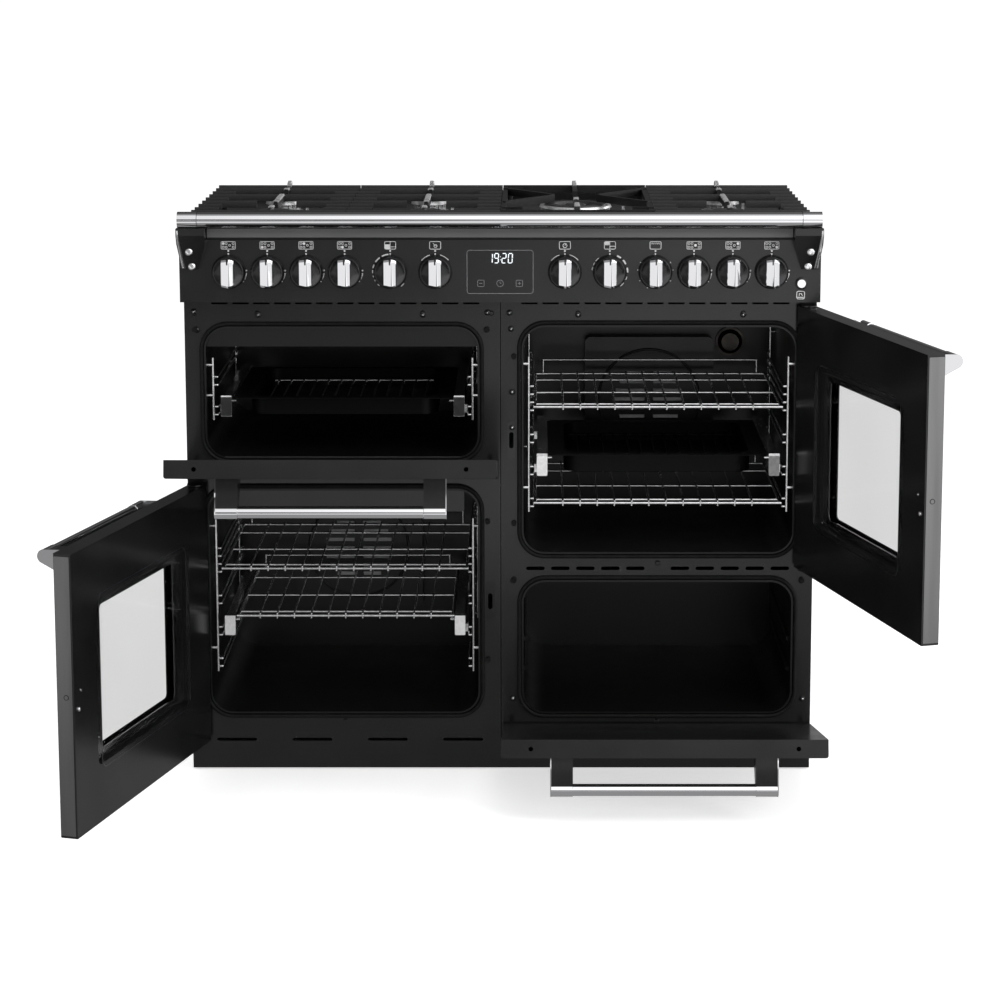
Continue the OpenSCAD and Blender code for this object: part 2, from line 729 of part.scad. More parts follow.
module gas_manifold() {
    color([0.72, 0.6, 0.35]) {
        translate([-body_w/2 + 22, manifold_y, knob_z]) rotate([0, 90, 0])
            cylinder(d = pipe_d, h = body_w - 44);
        for (side = [-1, 1], i = [0:5]) translate([side*knob_spacing[i], 0, knob_z]) {
            // tap or switch body with its control shaft
            translate([0, manifold_y, 0]) rotate([90, 0, 0])
                cylinder(d = 26, h = manifold_y - (fascia_y + sheet_t + 2));
            translate([0, manifold_y, 0]) rotate([90, 0, 0])
                cylinder(d = shaft_d, h = manifold_y - (knob_y - 16));
        }
        // lead from the manifold to the inlet behind the rear panel
        translate([gas_x, manifold_y, knob_z]) rotate([-90, 0, 0])
            cylinder(d = pipe_d, h = rear_y + 2 - manifold_y);
        translate([gas_x, rear_y + 1, knob_z]) rotate([-90, 0, 0]) cylinder(d = gas_inlet_d, h = gas_inlet_l);
        // switch body of the push button with its guide
        translate([button_x, fascia_y + sheet_t + 10, button_z]) rotate([-90, 0, 0]) difference() {
            cylinder(d = 18, h = manifold_y - fascia_y - sheet_t - 10);
            translate([0, 0, -1]) cylinder(r = 3 + run_fit, h = 14);
        }
        translate([button_x - 4, manifold_y - 6, button_z]) cube([8, 6, knob_z - button_z]);
    }
}

// Knob: a skirt, a dished drum and a raised grip bar
module knob(side, i) {
    color([0.12, 0.12, 0.125])
    translate([side*knob_spacing[i], knob_y, knob_z]) rotate([90, 0, 0]) difference() {
        union() {
            cylinder(d = knob_d, h = 2.5);
            translate([0, 0, 2.5]) cylinder(d1 = knob_d, d2 = knob_d - 5, h = knob_skirt - 2.5);
            translate([0, 0, knob_skirt - 0.01]) cylinder(d = knob_d*0.7, h = 1.5);
            intersection() {
                translate([-grip_w/2, -knob_d/2, 0]) cube([grip_w, knob_d, knob_depth]);
                cylinder(d = knob_d - 8, h = knob_depth);
            }
        }
        translate([0, 0, -1]) cylinder(d = shaft_d + 2*run_fit, h = 18);
    }
}

module push_button() {
    color([0.85, 0.86, 0.87])
    translate([button_x, 0, button_z]) rotate([90, 0, 0]) {
        translate([0, 0, -fascia_y - sheet_t - 3]) cylinder(d = button_d, h = sheet_t + 3 + 4.5);
        translate([0, 0, -fascia_y - sheet_t - 10 - 7.5]) cylinder(r = 3, h = 15);
    }
}

// ---------- rail ----------

module front_rail() {
    color([0.85, 0.86, 0.87])
    translate([-fascia_w/2 + 3, front_y - rail_out, rail_z]) rotate([0, 90, 0]) {
        rail_l = fascia_w - 6;
        cylinder(d = rail_d, h = rail_l);
        for (z = [0, rail_l - rail_collar_l])
            translate([0, 0, z]) cylinder(d = rail_d + 1.6, h = rail_collar_l);
    }
}

// Arm that rises from the control panel to the rail, narrower at its foot
module rail_bracket() {
    foot_z = fascia_z + 53;
    arm_y = front_y - rail_out;
    top_w = 44;
    foot_w = 27;
    translate([-fascia_w/2, 0, 0]) intersection() {
        rotate([90, 0, 90]) linear_extrude(height = top_w)
            polygon([[fascia_y - 0.01, foot_z], [fascia_y - 0.01, fascia_top - 1],
                [fascia_y - 12, fascia_top - 1],
                [arm_y + 8, rail_z - rail_d/2 - 1.2], [arm_y - 6, rail_z - rail_d/2 - 1.2],
                [arm_y - 6, rail_z - 24], [fascia_y - 6, foot_z]]);
        rotate([90, 0, 0]) linear_extrude(height = 2*body_d, center = true)
            polygon([[0, rail_z], [top_w, rail_z], [top_w, fascia_top - 6], [foot_w + 4, foot_z],
                [5, foot_z], [0, fascia_top - 6]]);
    }
}

module rail_brackets() {
    color([0.04, 0.04, 0.045]) for (side = [0, 1]) mirror([side, 0, 0]) rail_bracket();
}

// ---------- hob ----------

module burner_spots() {
    for (i = [-1.5, -0.5, 1.5], y = [burner_front, burner_rear])
        translate([i*(support_w + support_gap), y, deck_z]) children();
}

module hob_top() {
    hob_d = body_d + fascia_d + 1.5;
    color([0.03, 0.03, 0.035]) difference() {
        union() {
            translate([-fascia_w/2, fascia_y - 1.5, deck_z]) cube([fascia_w, hob_d, sheet_t]);
            difference() {
                translate([-fascia_w/2, fascia_y - 1.5, deck_z]) cube([fascia_w, hob_d, hob_edge_h]);
                translate([-fascia_w/2 + 6, fascia_y + 12, deck_z - 1])
                    cube([fascia_w - 12, body_d - 10, hob_edge_h + 2]);
            }
        }
        burner_spots() translate([0, 0, -1]) cylinder(d = 34, h = 6);
        translate([wok_x, wok_y, deck_z - 1]) cylinder(d = 74, h = 6);
    }
}

// Aluminium cup and crown of a burner, the crown cut by flame ports
module burner_base(d, crown_z, ports) {
    difference() {
        union() {
            translate([0, 0, -18]) cylinder(d = min(d, 90)*0.5, h = 22);
            translate([0, 0, sheet_t]) cylinder(d1 = d*1.18, d2 = d*1.08, h = 4);
            translate([0, 0, sheet_t]) cylinder(d = d*0.92, h = crown_z - sheet_t);
        }
        for (i = [0:ports - 1]) rotate([0, 0, 360/ports*i])
            translate([d*0.36, -0.9, crown_z - 5]) cube([d, 1.8, 6]);
    }
}

module burner_bases() {
    color([0.7, 0.71, 0.72]) {
        burner_spots() {
            burner_base(burner_d, crown_h, 20);
            translate([burner_d*0.5 + 9, 0, sheet_t]) cylinder(d = 5, h = crown_h);
        }
        translate([wok_x, wok_y, deck_z]) {
            burner_base(wok_d, crown_h, 32);
            translate([wok_d*0.6 + 4, 0, sheet_t]) cylinder(d = 5, h = crown_h);
        }
    }
}

module burner_caps() {
    color([0.03, 0.03, 0.035]) {
        burner_spots() translate([0, 0, crown_h + seat]) {
            cylinder(d = burner_d, h = 4);
            translate([0, 0, 4]) cylinder(d1 = burner_d, d2 = burner_d - 10, h = 2);
        }
        translate([wok_x, wok_y, deck_z + crown_h + seat]) difference() {
            cylinder(d = wok_d, h = 6);
            translate([0, 0, -1]) cylinder(d = wok_d - 42, h = 8);
        }
        translate([wok_x, wok_y, deck_z + crown_h + seat]) cylinder(d = 42, h = 7);
    }
}

// Cast pan support on four feet; the bars over a burner stop short of it
module pan_support(index) {
    x0 = (index - 2.5)*(support_w + support_gap);
    spine_z = support_h - bar_h;
    wok = index == 3;
    color([0.03, 0.03, 0.035])
    translate([x0, support_y, deck_z]) {
        for (side = [-1, 1]) {
            translate([side*(support_w/2 - bar_t/2) - bar_t/2, -support_d/2, spine_z - 2])
                cube([bar_t, support_d, bar_h]);
            translate([-support_w/2, side*(support_d/2 - bar_t/2) - bar_t/2, spine_z])
                cube([support_w, bar_t, bar_h]);
        }
        for (sx = [-1, 1], sy = [-1, 1])
            translate([sx*(support_w/2 - 10), sy*(support_d/2 - 10), sheet_t + seat])
                cylinder(d1 = 9, d2 = 13, h = spine_z - 2 - sheet_t - 2*seat);
        if (wok) wok_bars(spine_z); else twin_bars(spine_z);
    }
}

module twin_bars(z) {
    pitch = support_d/8;
    for (i = [-3:3]) {
        y = i*pitch;
        over = min(abs(y + support_y - burner_front), abs(y + support_y - burner_rear)) < burner_d/2;
        gap = over ? burner_d*0.36 : -1;
        for (side = [0, 1]) mirror([side, 0, 0])
            translate([gap, y - bar_t/2 + 1, z]) cube([support_w/2 - gap, bar_t - 2, bar_h]);
    }
    for (span = [[-support_d/2, burner_front - support_y - 14], [burner_front - support_y + 14,
            burner_rear - support_y - 14], [burner_rear - support_y + 14, support_d/2]])
        translate([-bar_t/2, span[0], z + 1]) cube([bar_t, span[1] - span[0], bar_h - 0.4]);
}

module wok_bars(z) {
    y0 = wok_y - support_y;
    reach = support_w/2 - 37;
    for (side = [0, 1], dir = [-1, 1]) mirror([side, 0, 0])
        translate([-37, y0 + dir*5, z]) rotate([0, 0, 180 - dir*atan(105/reach)])
            translate([0, -bar_t/2 + 1, 0]) cube([norm([reach, 105]) - 6, bar_t - 2, bar_h]);
    for (span = [[-support_d/2, y0 - 44], [y0 + 44, support_d/2]])
        translate([-bar_t/2, span[0], z]) cube([bar_t, span[1] - span[0], bar_h + 0.6]);
    for (side = [0, 1], y = [-3, 3]) mirror([side, 0, 0])
        translate([-support_w/2, y*support_d/8 - bar_t/2 + 1, z]) cube([34, bar_t - 2, bar_h]);
}

// ---------- doors ----------
// Each door is drawn shut round its hinge axis, then turned open.

// Side-hung door on the left: x from the hinge edge, inner face at y = pivot_in
module place_swing(z, right) {
    mirror([right ? 1 : 0, 0, 0])
        translate([-pivot_x, pivot_y, z]) rotate([0, 0, -swing_open])
            translate([door_w/2 - pivot_in, pivot_in, 0]) children();
}

// Drop-down door: its inner face at y = 0, bottom edge at z = 0
module place_drop(z, right) {
    translate([right ? column_x : -column_x, pivot_y, z + pivot_in]) rotate([drop_open, 0, 0])
        translate([0, pivot_in, -pivot_in]) children();
}

// Folded door skin, open at the back, with small radii on its vertical edges
module door_skin(h) {
    r = 4;
    difference() {
        linear_extrude(height = h) union() {
            translate([-door_w/2, -door_t + r]) square([door_w, door_t - r]);
            translate([-door_w/2 + r, -door_t]) square([door_w - 2*r, door_t]);
            for (side = [-1, 1]) translate([side*(door_w/2 - r), -door_t + r]) circle(r);
        }
        translate([-door_w/2 + door_sheet, -door_t + door_sheet, door_sheet])
            cube([door_w - 2*door_sheet, door_t, h - 2*door_sheet]);
        children();
    }
}

// Lug with a vertical pin bore at the hinge edge of a side-hung door
module swing_lug(z) {
    translate([-door_w/2 + 0.2, -door_t + 0.4, z]) cube([24, door_t - 0.4 - door_sheet - 0.3, 16]);
}

module swing_shell(h) {
    difference() {
        union() {
            door_skin(h)
                translate([0, -door_t - 1, h/2]) upright(door_sheet + 2) rounded(window_w, window_h, 8);
            swing_lug(0.2);
            swing_lug(h - 16.2);
        }
        for (z = [-1, h - 12.8])
            translate([-door_w/2 + pivot_in, -pivot_in, z]) cylinder(r = hole_r, h = 13.8);
    }
}

// Inner panel with a stepped recess round the window
module swing_panel(h) {
    inset = door_sheet + 0.2;
    well = 12;
    translate([0, -door_sheet - 0.1, h/2]) difference() {
        union() {
            upright(door_sheet) rounded(door_w - 2*inset, h - 2*inset, 3);
            translate([0, -well, 0]) upright(well) rounded(recess_w, recess_h, 12);
        }
        translate([0, -well + door_sheet, 0]) upright(well + 2) rounded(recess_w - 2*door_sheet,
            recess_h - 2*door_sheet, 11);
        translate([0, -well - 1, 0]) upright(well + 2) rounded(window_w, window_h, 8);
    }
}

// Outer pane behind the shell, inner pane on the recess floor
module swing_glass(h) {
    translate([0, -door_t + door_sheet + 0.2, h/2]) upright(4) rounded(window_w + 40, window_h + 40, 6);
    translate([0, -13 + 0.2 + door_sheet, h/2]) translate([0, -door_sheet + 0.8, 0]) upright(4)
        rounded(recess_w - 30, recess_h - 14, 6);
}

// Bar handle with collars on two tapered brackets; origin on the door's top edge
module handle() {
    axis_y = -door_t - handle_out;
    for (side = [-1, 1]) {
        translate([side*(handle_l/2 - collar_l/2), 0, 0]) {
            translate([-collar_l/2, 0, 0]) rotate([90, 0, 90]) linear_extrude(height = collar_l) {
                polygon([[-door_t - 0.05, -4], [-door_t - 0.05, -58],
                    [axis_y - 4, -handle_drop - 8.4], [axis_y + 4, -handle_drop + 8.4]]);
                translate([axis_y, -handle_drop]) circle(bar_d/2);
            }
            translate([-collar_l/2, axis_y, -handle_drop]) rotate([0, 90, 0])
                cylinder(d = collar_d, h = collar_l);
        }
    }
    translate([-handle_l/2, axis_y, -handle_drop]) rotate([0, 90, 0]) cylinder(d = bar_d, h = handle_l);
}

// Notch that the ear on the cabinet turns in, and the pin bore across it
module drop_notches() {
    for (side = [-1, 1]) translate([side*(door_w/2 - pivot_in), -pivot_in, pivot_in]) {
        translate([-3.5, -9.5, -pivot_in - 1]) cube([7, 9.5 + pivot_in + 1, pivot_in + 1 + 9.5]);
        translate([-12, 0, 0]) rotate([0, 90, 0]) cylinder(r = hole_r, h = 24);
    }
}

module drop_shell() {
    difference() {
        union() {
            door_skin(small_door_h);
            for (side = [-1, 1]) translate([side*(door_w/2 - pivot_in), 0, 0])
                translate([-13.4, -door_t + 0.4, 0.2]) cube([26.8, door_t - 0.4 - door_sheet - 0.3, 25]);
        }
        drop_notches();
        for (side = [-1, 1])
            translate([side*(door_w/2 - 45), -door_t/2, small_door_h - 3]) cylinder(d = 7, h = 5);
    }
}

module drop_panel() {
    inset = door_sheet + 0.2;
    difference() {
        translate([0, -door_sheet - 0.1, small_door_h/2]) upright(door_sheet)
            rounded(door_w - 2*inset, small_door_h - 2*inset, 3);
        drop_notches();
    }
}

enamel = [0.05, 0.05, 0.055];
chrome = [0.85, 0.86, 0.87];
pane = [0.6, 0.65, 0.68, 0.4];
module left_oven_door_shell() color(enamel) place_swing(door_lift, false) swing_shell(large_door_h);
module left_oven_door_panel() color(enamel) place_swing(door_lift, false) swing_panel(large_door_h);
module left_oven_door_glass() color(pane) place_swing(door_lift, false) swing_glass(large_door_h);
module left_oven_door_handle() color(chrome)
    place_swing(door_lift, false) translate([0, 0, large_door_h]) handle();
module right_oven_door_shell() color(enamel) place_swing(upper_large_z, true) swing_shell(large_door_h);
module right_oven_door_panel() color(enamel) place_swing(upper_large_z, true) swing_panel(large_door_h);
module right_oven_door_glass() color(pane) place_swing(upper_large_z, true) swing_glass(large_door_h);
module right_oven_door_handle() color(chrome)
    place_swing(upper_large_z, true) translate([0, 0, large_door_h]) handle();
module grill_door_shell() color(enamel) place_drop(upper_small_z, false) drop_shell();
module grill_door_panel() color(enamel) place_drop(upper_small_z, false) drop_panel();
module grill_door_handle() color(chrome)
    place_drop(upper_small_z, false) translate([0, 0, small_door_h]) handle();
module slow_oven_door_shell() color(enamel) place_drop(door_lift, true) drop_shell();
module slow_oven_door_panel() color(enamel) place_drop(door_lift, true) drop_panel();
module slow_oven_door_handle() color(chrome)
    place_drop(door_lift, true) translate([0, 0, small_door_h]) handle();

// ---------- shelves and pans ----------

// Wire shelf: rods from the front bar over cross wires, side wires in the racks, a raised rear guard
module wire_shelf(x, z, w) {
    depth = rack_back - rack_front - 20;
    rod_d = 3.2;
    rods = 2*floor((w - 60)/2/rod_pitch) + (w > 380 ? 0 : 1);
    top = front_bar_d/2 + rod_d/2 - 0.6;
    side = w/2 - front_bar_d/2;
    color(chrome) translate([x, rack_front + 4, z]) {
        wire([-w/2, 0, 0], [w/2, 0, 0], front_bar_d);
        for (s = [-1, 1]) wire([s*side, 0, 0], [s*side, depth, 0], front_bar_d);
        wire([-side, depth, 0], [side, depth, 0], front_bar_d);
        for (y = [26, depth*0.42, depth*0.8])
            wire([-side, y, 0], [side, y, 0], wire_d);
        for (i = [0:rods - 1]) {
            rod_x = (i - (rods - 1)/2)*rod_pitch;
            bent_wire([[rod_x, -1, -4], [rod_x, -1, top], [rod_x, depth + 1, top]], rod_d);
        }
        guard_z = front_bar_d/2 + seat;
        bent_wire([[-side + 14, depth, guard_z], [-side + 14, depth, 24], [side - 14, depth, 24],
            [side - 14, depth, guard_z]], wire_d);
    }
}

module left_oven_upper_shelf() wire_shelf(-column_x, left_oven_z + levels[3] + shelf_seat, shelf_w);
module left_oven_lower_shelf()
    wire_shelf(-column_x, left_oven_z + left_runner + ledge_top + front_bar_d/2 + seat, ride_w);
module right_oven_upper_shelf() wire_shelf(column_x, right_oven_z + levels[3] + shelf_seat, shelf_w);
module right_oven_lower_shelf() wire_shelf(column_x, right_oven_z + levels[0] + shelf_seat, shelf_w);

// Enamelled pan with a flat rim on the runner ledges and a wire trivet inside
module pan(x, z, pan_h) {
    t = 1.2;
    translate([x, rack_front + 4 + pan_d/2, z]) {
        color([0.04, 0.04, 0.045]) difference() {
            union() {
                linear_extrude(height = t) rounded(ride_w, pan_d, 12);
                translate([0, 0, -pan_h]) linear_extrude(height = pan_h)
                    rounded(basin_w + 2*t, pan_d - 36, 26);
            }
            translate([0, 0, -pan_h + t]) linear_extrude(height = pan_h + t)
                rounded(basin_w, pan_d - 36 - 2*t, 25);
        }
        color(chrome) {
            rod_l = pan_d - 36 - 2*t - 12;
            for (i = [-6:6])
                wire([i*trivet_pitch, -rod_l/2, -pan_h + 12], [i*trivet_pitch, rod_l/2, -pan_h + 12], 3);
            for (y = [-rod_l/2, rod_l/2]) {
                wire([-basin_w/2 + 10, y, -pan_h + 10], [basin_w/2 - 10, y, -pan_h + 10], wire_d);
                for (side = [-1, 1]) translate([side*(basin_w/2 - 28), y, -pan_h + t - 0.2])
                    cylinder(d = wire_d, h = 9);
            }
        }
    }
}

module grill_pan() pan(-column_x, grill_z + grill_runner + ledge_top + seat, 28);
module roasting_tin() pan(column_x, right_oven_z + right_runner + ledge_top + seat, 30);

// ---------- nodes ----------

side_panels();
chassis();
front_frames();
plinth();
grill_cavity();
left_oven_cavity();
right_oven_cavity();
slow_oven_cavity();
side_racks();
fan_covers();
heaters_and_motors();
left_fan();
right_fan();
door_seals();
hinge_brackets();
control_panel();
clock_display();
gas_manifold();
front_rail();
rail_brackets();
hob_top();
burner_bases();
burner_caps();
pan_support(1);  // pan_support_1
pan_support(2);  // pan_support_2
pan_support(3);  // pan_support_3
pan_support(4);  // pan_support_4
knob(-1, 5);  // hob_knob_1
knob(-1, 4);  // hob_knob_2
knob(-1, 3);  // hob_knob_3
knob(-1, 2);  // hob_knob_4
knob(1, 3);  // hob_knob_5
knob(1, 4);  // hob_knob_6
knob(1, 5);  // hob_knob_7
knob(-1, 1);  // oven_knob_1
knob(-1, 0);  // oven_knob_2
knob(1, 0);  // oven_knob_3
knob(1, 1);  // oven_knob_4
knob(1, 2);  // oven_knob_5
push_button();
left_oven_door_shell();
left_oven_door_panel();
left_oven_door_glass();
left_oven_door_handle();
right_oven_door_shell();
right_oven_door_panel();
right_oven_door_glass();
right_oven_door_handle();
grill_door_shell();
grill_door_panel();
grill_door_handle();
slow_oven_door_shell();
slow_oven_door_panel();
slow_oven_door_handle();
left_oven_upper_shelf();
left_oven_lower_shelf();
right_oven_upper_shelf();
right_oven_lower_shelf();
grill_pan();
roasting_tin();
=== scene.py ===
# %% [markdown]
# # A range cooker with four open doors
#
# The cooker's real shape was drawn in a CAD program and arrives here as fixed parts, in metres.
# This lesson gives those parts their finishes and adds the small pieces that a drawing leaves
# out: knobs with chrome grips, printed signs, a clock, handles, screws and seals.
# Everything sits in one frame: the origin is on the floor under the middle of the cabinet,
# +X points right, the front looks towards -Y and +Z points up.

# %% Load the cooker
import math
import bmesh
import bpy
from mathutils import Matrix, Vector
from mathutils.bvhtree import BVHTree


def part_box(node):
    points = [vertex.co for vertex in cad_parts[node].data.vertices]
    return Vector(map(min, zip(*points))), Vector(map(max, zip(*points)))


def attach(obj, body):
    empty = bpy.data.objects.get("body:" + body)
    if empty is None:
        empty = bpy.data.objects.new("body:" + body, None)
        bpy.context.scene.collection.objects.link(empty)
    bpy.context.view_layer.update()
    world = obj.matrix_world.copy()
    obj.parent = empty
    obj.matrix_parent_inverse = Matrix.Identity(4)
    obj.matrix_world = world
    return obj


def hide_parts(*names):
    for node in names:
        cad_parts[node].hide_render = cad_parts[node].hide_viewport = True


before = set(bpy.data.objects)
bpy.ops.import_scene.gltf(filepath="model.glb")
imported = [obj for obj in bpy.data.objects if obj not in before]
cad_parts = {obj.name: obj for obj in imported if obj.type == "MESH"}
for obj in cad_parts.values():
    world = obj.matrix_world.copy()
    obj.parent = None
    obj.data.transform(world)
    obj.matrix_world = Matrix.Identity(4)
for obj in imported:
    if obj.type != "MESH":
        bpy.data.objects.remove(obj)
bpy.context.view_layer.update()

# %% [markdown]
# ## Camera
#
# The cooker was photographed from a little above, far enough away that its sides barely
# converge. A long lens, 98 mm on a 36 mm sensor, at 4.5 m gives the same flattened look.
# The camera looks down by 9 degrees and a small vertical shift brings the cooker to the
# middle of the picture, which keeps the upright edges nearly parallel.

# %% Place the camera
camera_data = bpy.data.cameras.new("camera")
camera_data.lens = 98.4
camera_data.shift_x = -0.033
camera_data.shift_y = -0.15
camera = bpy.data.objects.new("camera", camera_data)
camera.location = (0.0513, -4.533, 1.376)
camera.rotation_euler = (math.radians(90 - 9.2), 0, 0)
bpy.context.collection.objects.link(camera)
bpy.context.scene.camera = camera
print("camera at", tuple(round(v, 3) for v in camera.location))

# %% [markdown]
# ## Finishes
#
# Every finish starts as one Principled shader with plain numbers on its own sockets. What makes
# it look real is the small variation on top: a little noise in the colour, in the roughness and
# in the height of the surface. Three short helpers add one kind of variation each, so a finish
# reads as a recipe. They take their noise from the object's own coordinates, which are metres,
# so a scale of 400 means grains of about 2.5 mm. Painted textures could do the same, but they
# would need flattened surfaces, and noise needs none.

# %% Helpers for a new finish
def grey(level):
    return (level, level, level)


def new_finish(name, colour, roughness, metallic=0.0, **sockets):
    material = bpy.data.materials.new(name)
    material.use_nodes = True
    shader = material.node_tree.nodes["Principled BSDF"]
    shader.inputs["Base Color"].default_value = (*colour, 1)
    shader.inputs["Roughness"].default_value = roughness
    shader.inputs["Metallic"].default_value = metallic
    for socket, value in sockets.items():
        shader.inputs[socket.replace("_", " ")].default_value = value
    return material


def noise_of(material, scale, detail=3.0, stretch=(1, 1, 1)):
    nodes, links = material.node_tree.nodes, material.node_tree.links
    place = nodes.new("ShaderNodeTexCoord")
    mapping = nodes.new("ShaderNodeMapping")
    mapping.inputs["Scale"].default_value = stretch
    noise = nodes.new("ShaderNodeTexNoise")
    noise.inputs["Scale"].default_value = scale
    noise.inputs["Detail"].default_value = detail
    links.new(place.outputs["Object"], mapping.inputs["Vector"])
    links.new(mapping.outputs["Vector"], noise.inputs["Vector"])
    return noise.outputs["Fac"]


print("a new finish takes a name, a colour and a roughness")

# %% Helpers that vary a finish
def vary_colour(material, fac, dark, light, low=0.35, high=0.65):
    nodes, links = material.node_tree.nodes, material.node_tree.links
    ramp = nodes.new("ShaderNodeValToRGB")
    ramp.color_ramp.elements[0].position = low
    ramp.color_ramp.elements[0].color = (*dark, 1)
    ramp.color_ramp.elements[1].position = high
    ramp.color_ramp.elements[1].color = (*light, 1)
    links.new(fac, ramp.inputs["Fac"])
    links.new(ramp.outputs["Color"], nodes["Principled BSDF"].inputs["Base Color"])


def vary_roughness(material, fac, low, high):
    nodes, links = material.node_tree.nodes, material.node_tree.links
    span = nodes.new("ShaderNodeMapRange")
    span.inputs["To Min"].default_value = low
    span.inputs["To Max"].default_value = high
    links.new(fac, span.inputs["Value"])
    links.new(span.outputs["Result"], nodes["Principled BSDF"].inputs["Roughness"])


def raise_surface(material, fac, height):
    nodes, links = material.node_tree.nodes, material.node_tree.links
    bump = nodes.new("ShaderNodeBump")
    bump.inputs["Strength"].default_value = 1.0
    bump.inputs["Distance"].default_value = height
    links.new(fac, bump.inputs["Height"])
    links.new(bump.outputs["Normal"], nodes["Principled BSDF"].inputs["Normal"])


print("finish helpers ready")

# %% [markdown]
# ### Enamel
#
# The body and the doors are stoved black enamel: glossy, with a faint ripple left where the
# wet coat flowed. The hob is a little deeper in tone. Its rim gets a paler copy of the enamel, a
# painted highlight for the light that the rim catches as it leans back. One shader with a darker
# mask could serve all three. Separate finishes are easier to tune. The ripple is only hundredths
# of a millimetre high, but without it the reflections are too straight to believe.

# %% Mix the body enamels
black_enamel = new_finish("black_enamel", grey(0.009), 0.22)
vary_colour(black_enamel, noise_of(black_enamel, 9), (0.007, 0.007, 0.0072), (0.011, 0.011, 0.0112))
vary_roughness(black_enamel, noise_of(black_enamel, 14, 6), 0.16, 0.26)
raise_surface(black_enamel, noise_of(black_enamel, 260), 0.00002)

hob_enamel = new_finish("hob_enamel", grey(0.004), 0.24)
vary_colour(hob_enamel, noise_of(hob_enamel, 9), grey(0.003), grey(0.006))
vary_roughness(hob_enamel, noise_of(hob_enamel, 14, 6), 0.2, 0.3)

# paler copy of the black enamel: a painted highlight for the light that the leaning rim catches
rim_enamel_painted_light = new_finish("rim_enamel_painted_light", grey(0.07), 0.35, Specular_IOR_Level=0.9)
vary_colour(rim_enamel_painted_light, noise_of(rim_enamel_painted_light, 9), grey(0.064), grey(0.078))
vary_roughness(rim_enamel_painted_light, noise_of(rim_enamel_painted_light, 14, 6), 0.3, 0.4)
print("body enamels mixed")

# %% [markdown]
# ### Enamel of the ovens
#
# The ovens have vitreous enamel, a hard glass fused onto steel. It is rougher than paint and
# carries tiny pale specks. Only the peaks of a fine noise are pale: the colour ramp starts at
# about 0.7, so most of the surface stays black. The pans and the burner lids are duller still.

# %% Mix the oven enamels
oven_enamel = new_finish("oven_enamel", grey(0.004), 0.3, Specular_IOR_Level=0.4)
vary_colour(oven_enamel, noise_of(oven_enamel, 1400, 2), grey(0.003), grey(0.04), 0.68, 0.80)
vary_roughness(oven_enamel, noise_of(oven_enamel, 20, 6), 0.24, 0.38)
raise_surface(oven_enamel, noise_of(oven_enamel, 420, 5), 0.00004)

pan_enamel = new_finish("pan_enamel", grey(0.003), 0.4, Specular_IOR_Level=0.1)
vary_colour(pan_enamel, noise_of(pan_enamel, 1200, 2), grey(0.003), grey(0.03), 0.7, 0.82)
raise_surface(pan_enamel, noise_of(pan_enamel, 380, 4), 0.00004)

# matt enamel for the burner lids, also used as painted shade on the grill's runner caps
matt_enamel_and_painted_shade = new_finish("matt_enamel_and_painted_shade", grey(0.012), 0.5)
vary_colour(matt_enamel_and_painted_shade, noise_of(matt_enamel_and_painted_shade, 160), grey(0.009), (0.02, 0.02, 0.021))
vary_roughness(matt_enamel_and_painted_shade, noise_of(matt_enamel_and_painted_shade, 60, 6), 0.42, 0.6)
raise_surface(matt_enamel_and_painted_shade, noise_of(matt_enamel_and_painted_shade, 700, 4), 0.00006)
print("oven enamels mixed")

# %% [markdown]
# ### Chrome and zinc
#
# Chrome is nearly a mirror, so its look comes from what it reflects; only hairline polishing
# marks are added. Galvanised steel shows its zinc crystals, which a Voronoi texture draws well:
# each cell is one crystal with its own grey. Noise would blur their edges.

# %% Mix chrome and wire
chrome = new_finish("polished_chrome", (0.83, 0.83, 0.85), 0.06, 1.0)
vary_roughness(chrome, noise_of(chrome, 60, 8, (1, 12, 12)), 0.02, 0.06)
raise_surface(chrome, noise_of(chrome, 900, 2, (0.2, 1, 1)), 0.000001)

plated_wire = new_finish("plated_wire", (0.72, 0.72, 0.73), 0.22, 1.0)
vary_colour(plated_wire, noise_of(plated_wire, 120), (0.60, 0.60, 0.61), (0.80, 0.80, 0.81))
vary_roughness(plated_wire, noise_of(plated_wire, 90, 6), 0.16, 0.32)
print("chrome and wire mixed")

# %% Grow the zinc crystals
zinc = new_finish("zinc_sheet", (0.55, 0.57, 0.59), 0.38, 0.9)
crystals = zinc.node_tree.nodes.new("ShaderNodeTexVoronoi")
crystals.inputs["Scale"].default_value = 70
zinc_place = zinc.node_tree.nodes.new("ShaderNodeTexCoord")
zinc.node_tree.links.new(zinc_place.outputs["Object"], crystals.inputs["Vector"])
crystal_grey = zinc.node_tree.nodes.new("ShaderNodeSeparateColor")
zinc.node_tree.links.new(crystals.outputs["Color"], crystal_grey.inputs["Color"])
vary_colour(zinc, crystal_grey.outputs["Red"], (0.42, 0.44, 0.46), (0.66, 0.68, 0.70), 0.0, 1.0)
vary_roughness(zinc, crystal_grey.outputs["Green"], 0.30, 0.50)
print("zinc crystals", round(1000 / crystals.inputs["Scale"].default_value), "mm wide")

# %% [markdown]
# ### Other metals
#
# The heaters are steel that the heat has browned, the burners are cast aluminium, the gas pipes
# brass. A brushed finish is noise stretched along one axis: satin steel on the door edges runs
# upright. The pan supports are cast iron under a dull coat, so their grain is raised the most.

# %% Mix the metals of heaters and burners
burnt_steel = new_finish("heat_tinted_steel", (0.05, 0.048, 0.046), 0.4, 0.9)
vary_colour(burnt_steel, noise_of(burnt_steel, 30), (0.03, 0.028, 0.028), (0.09, 0.08, 0.07))
vary_roughness(burnt_steel, noise_of(burnt_steel, 90, 6), 0.3, 0.55)

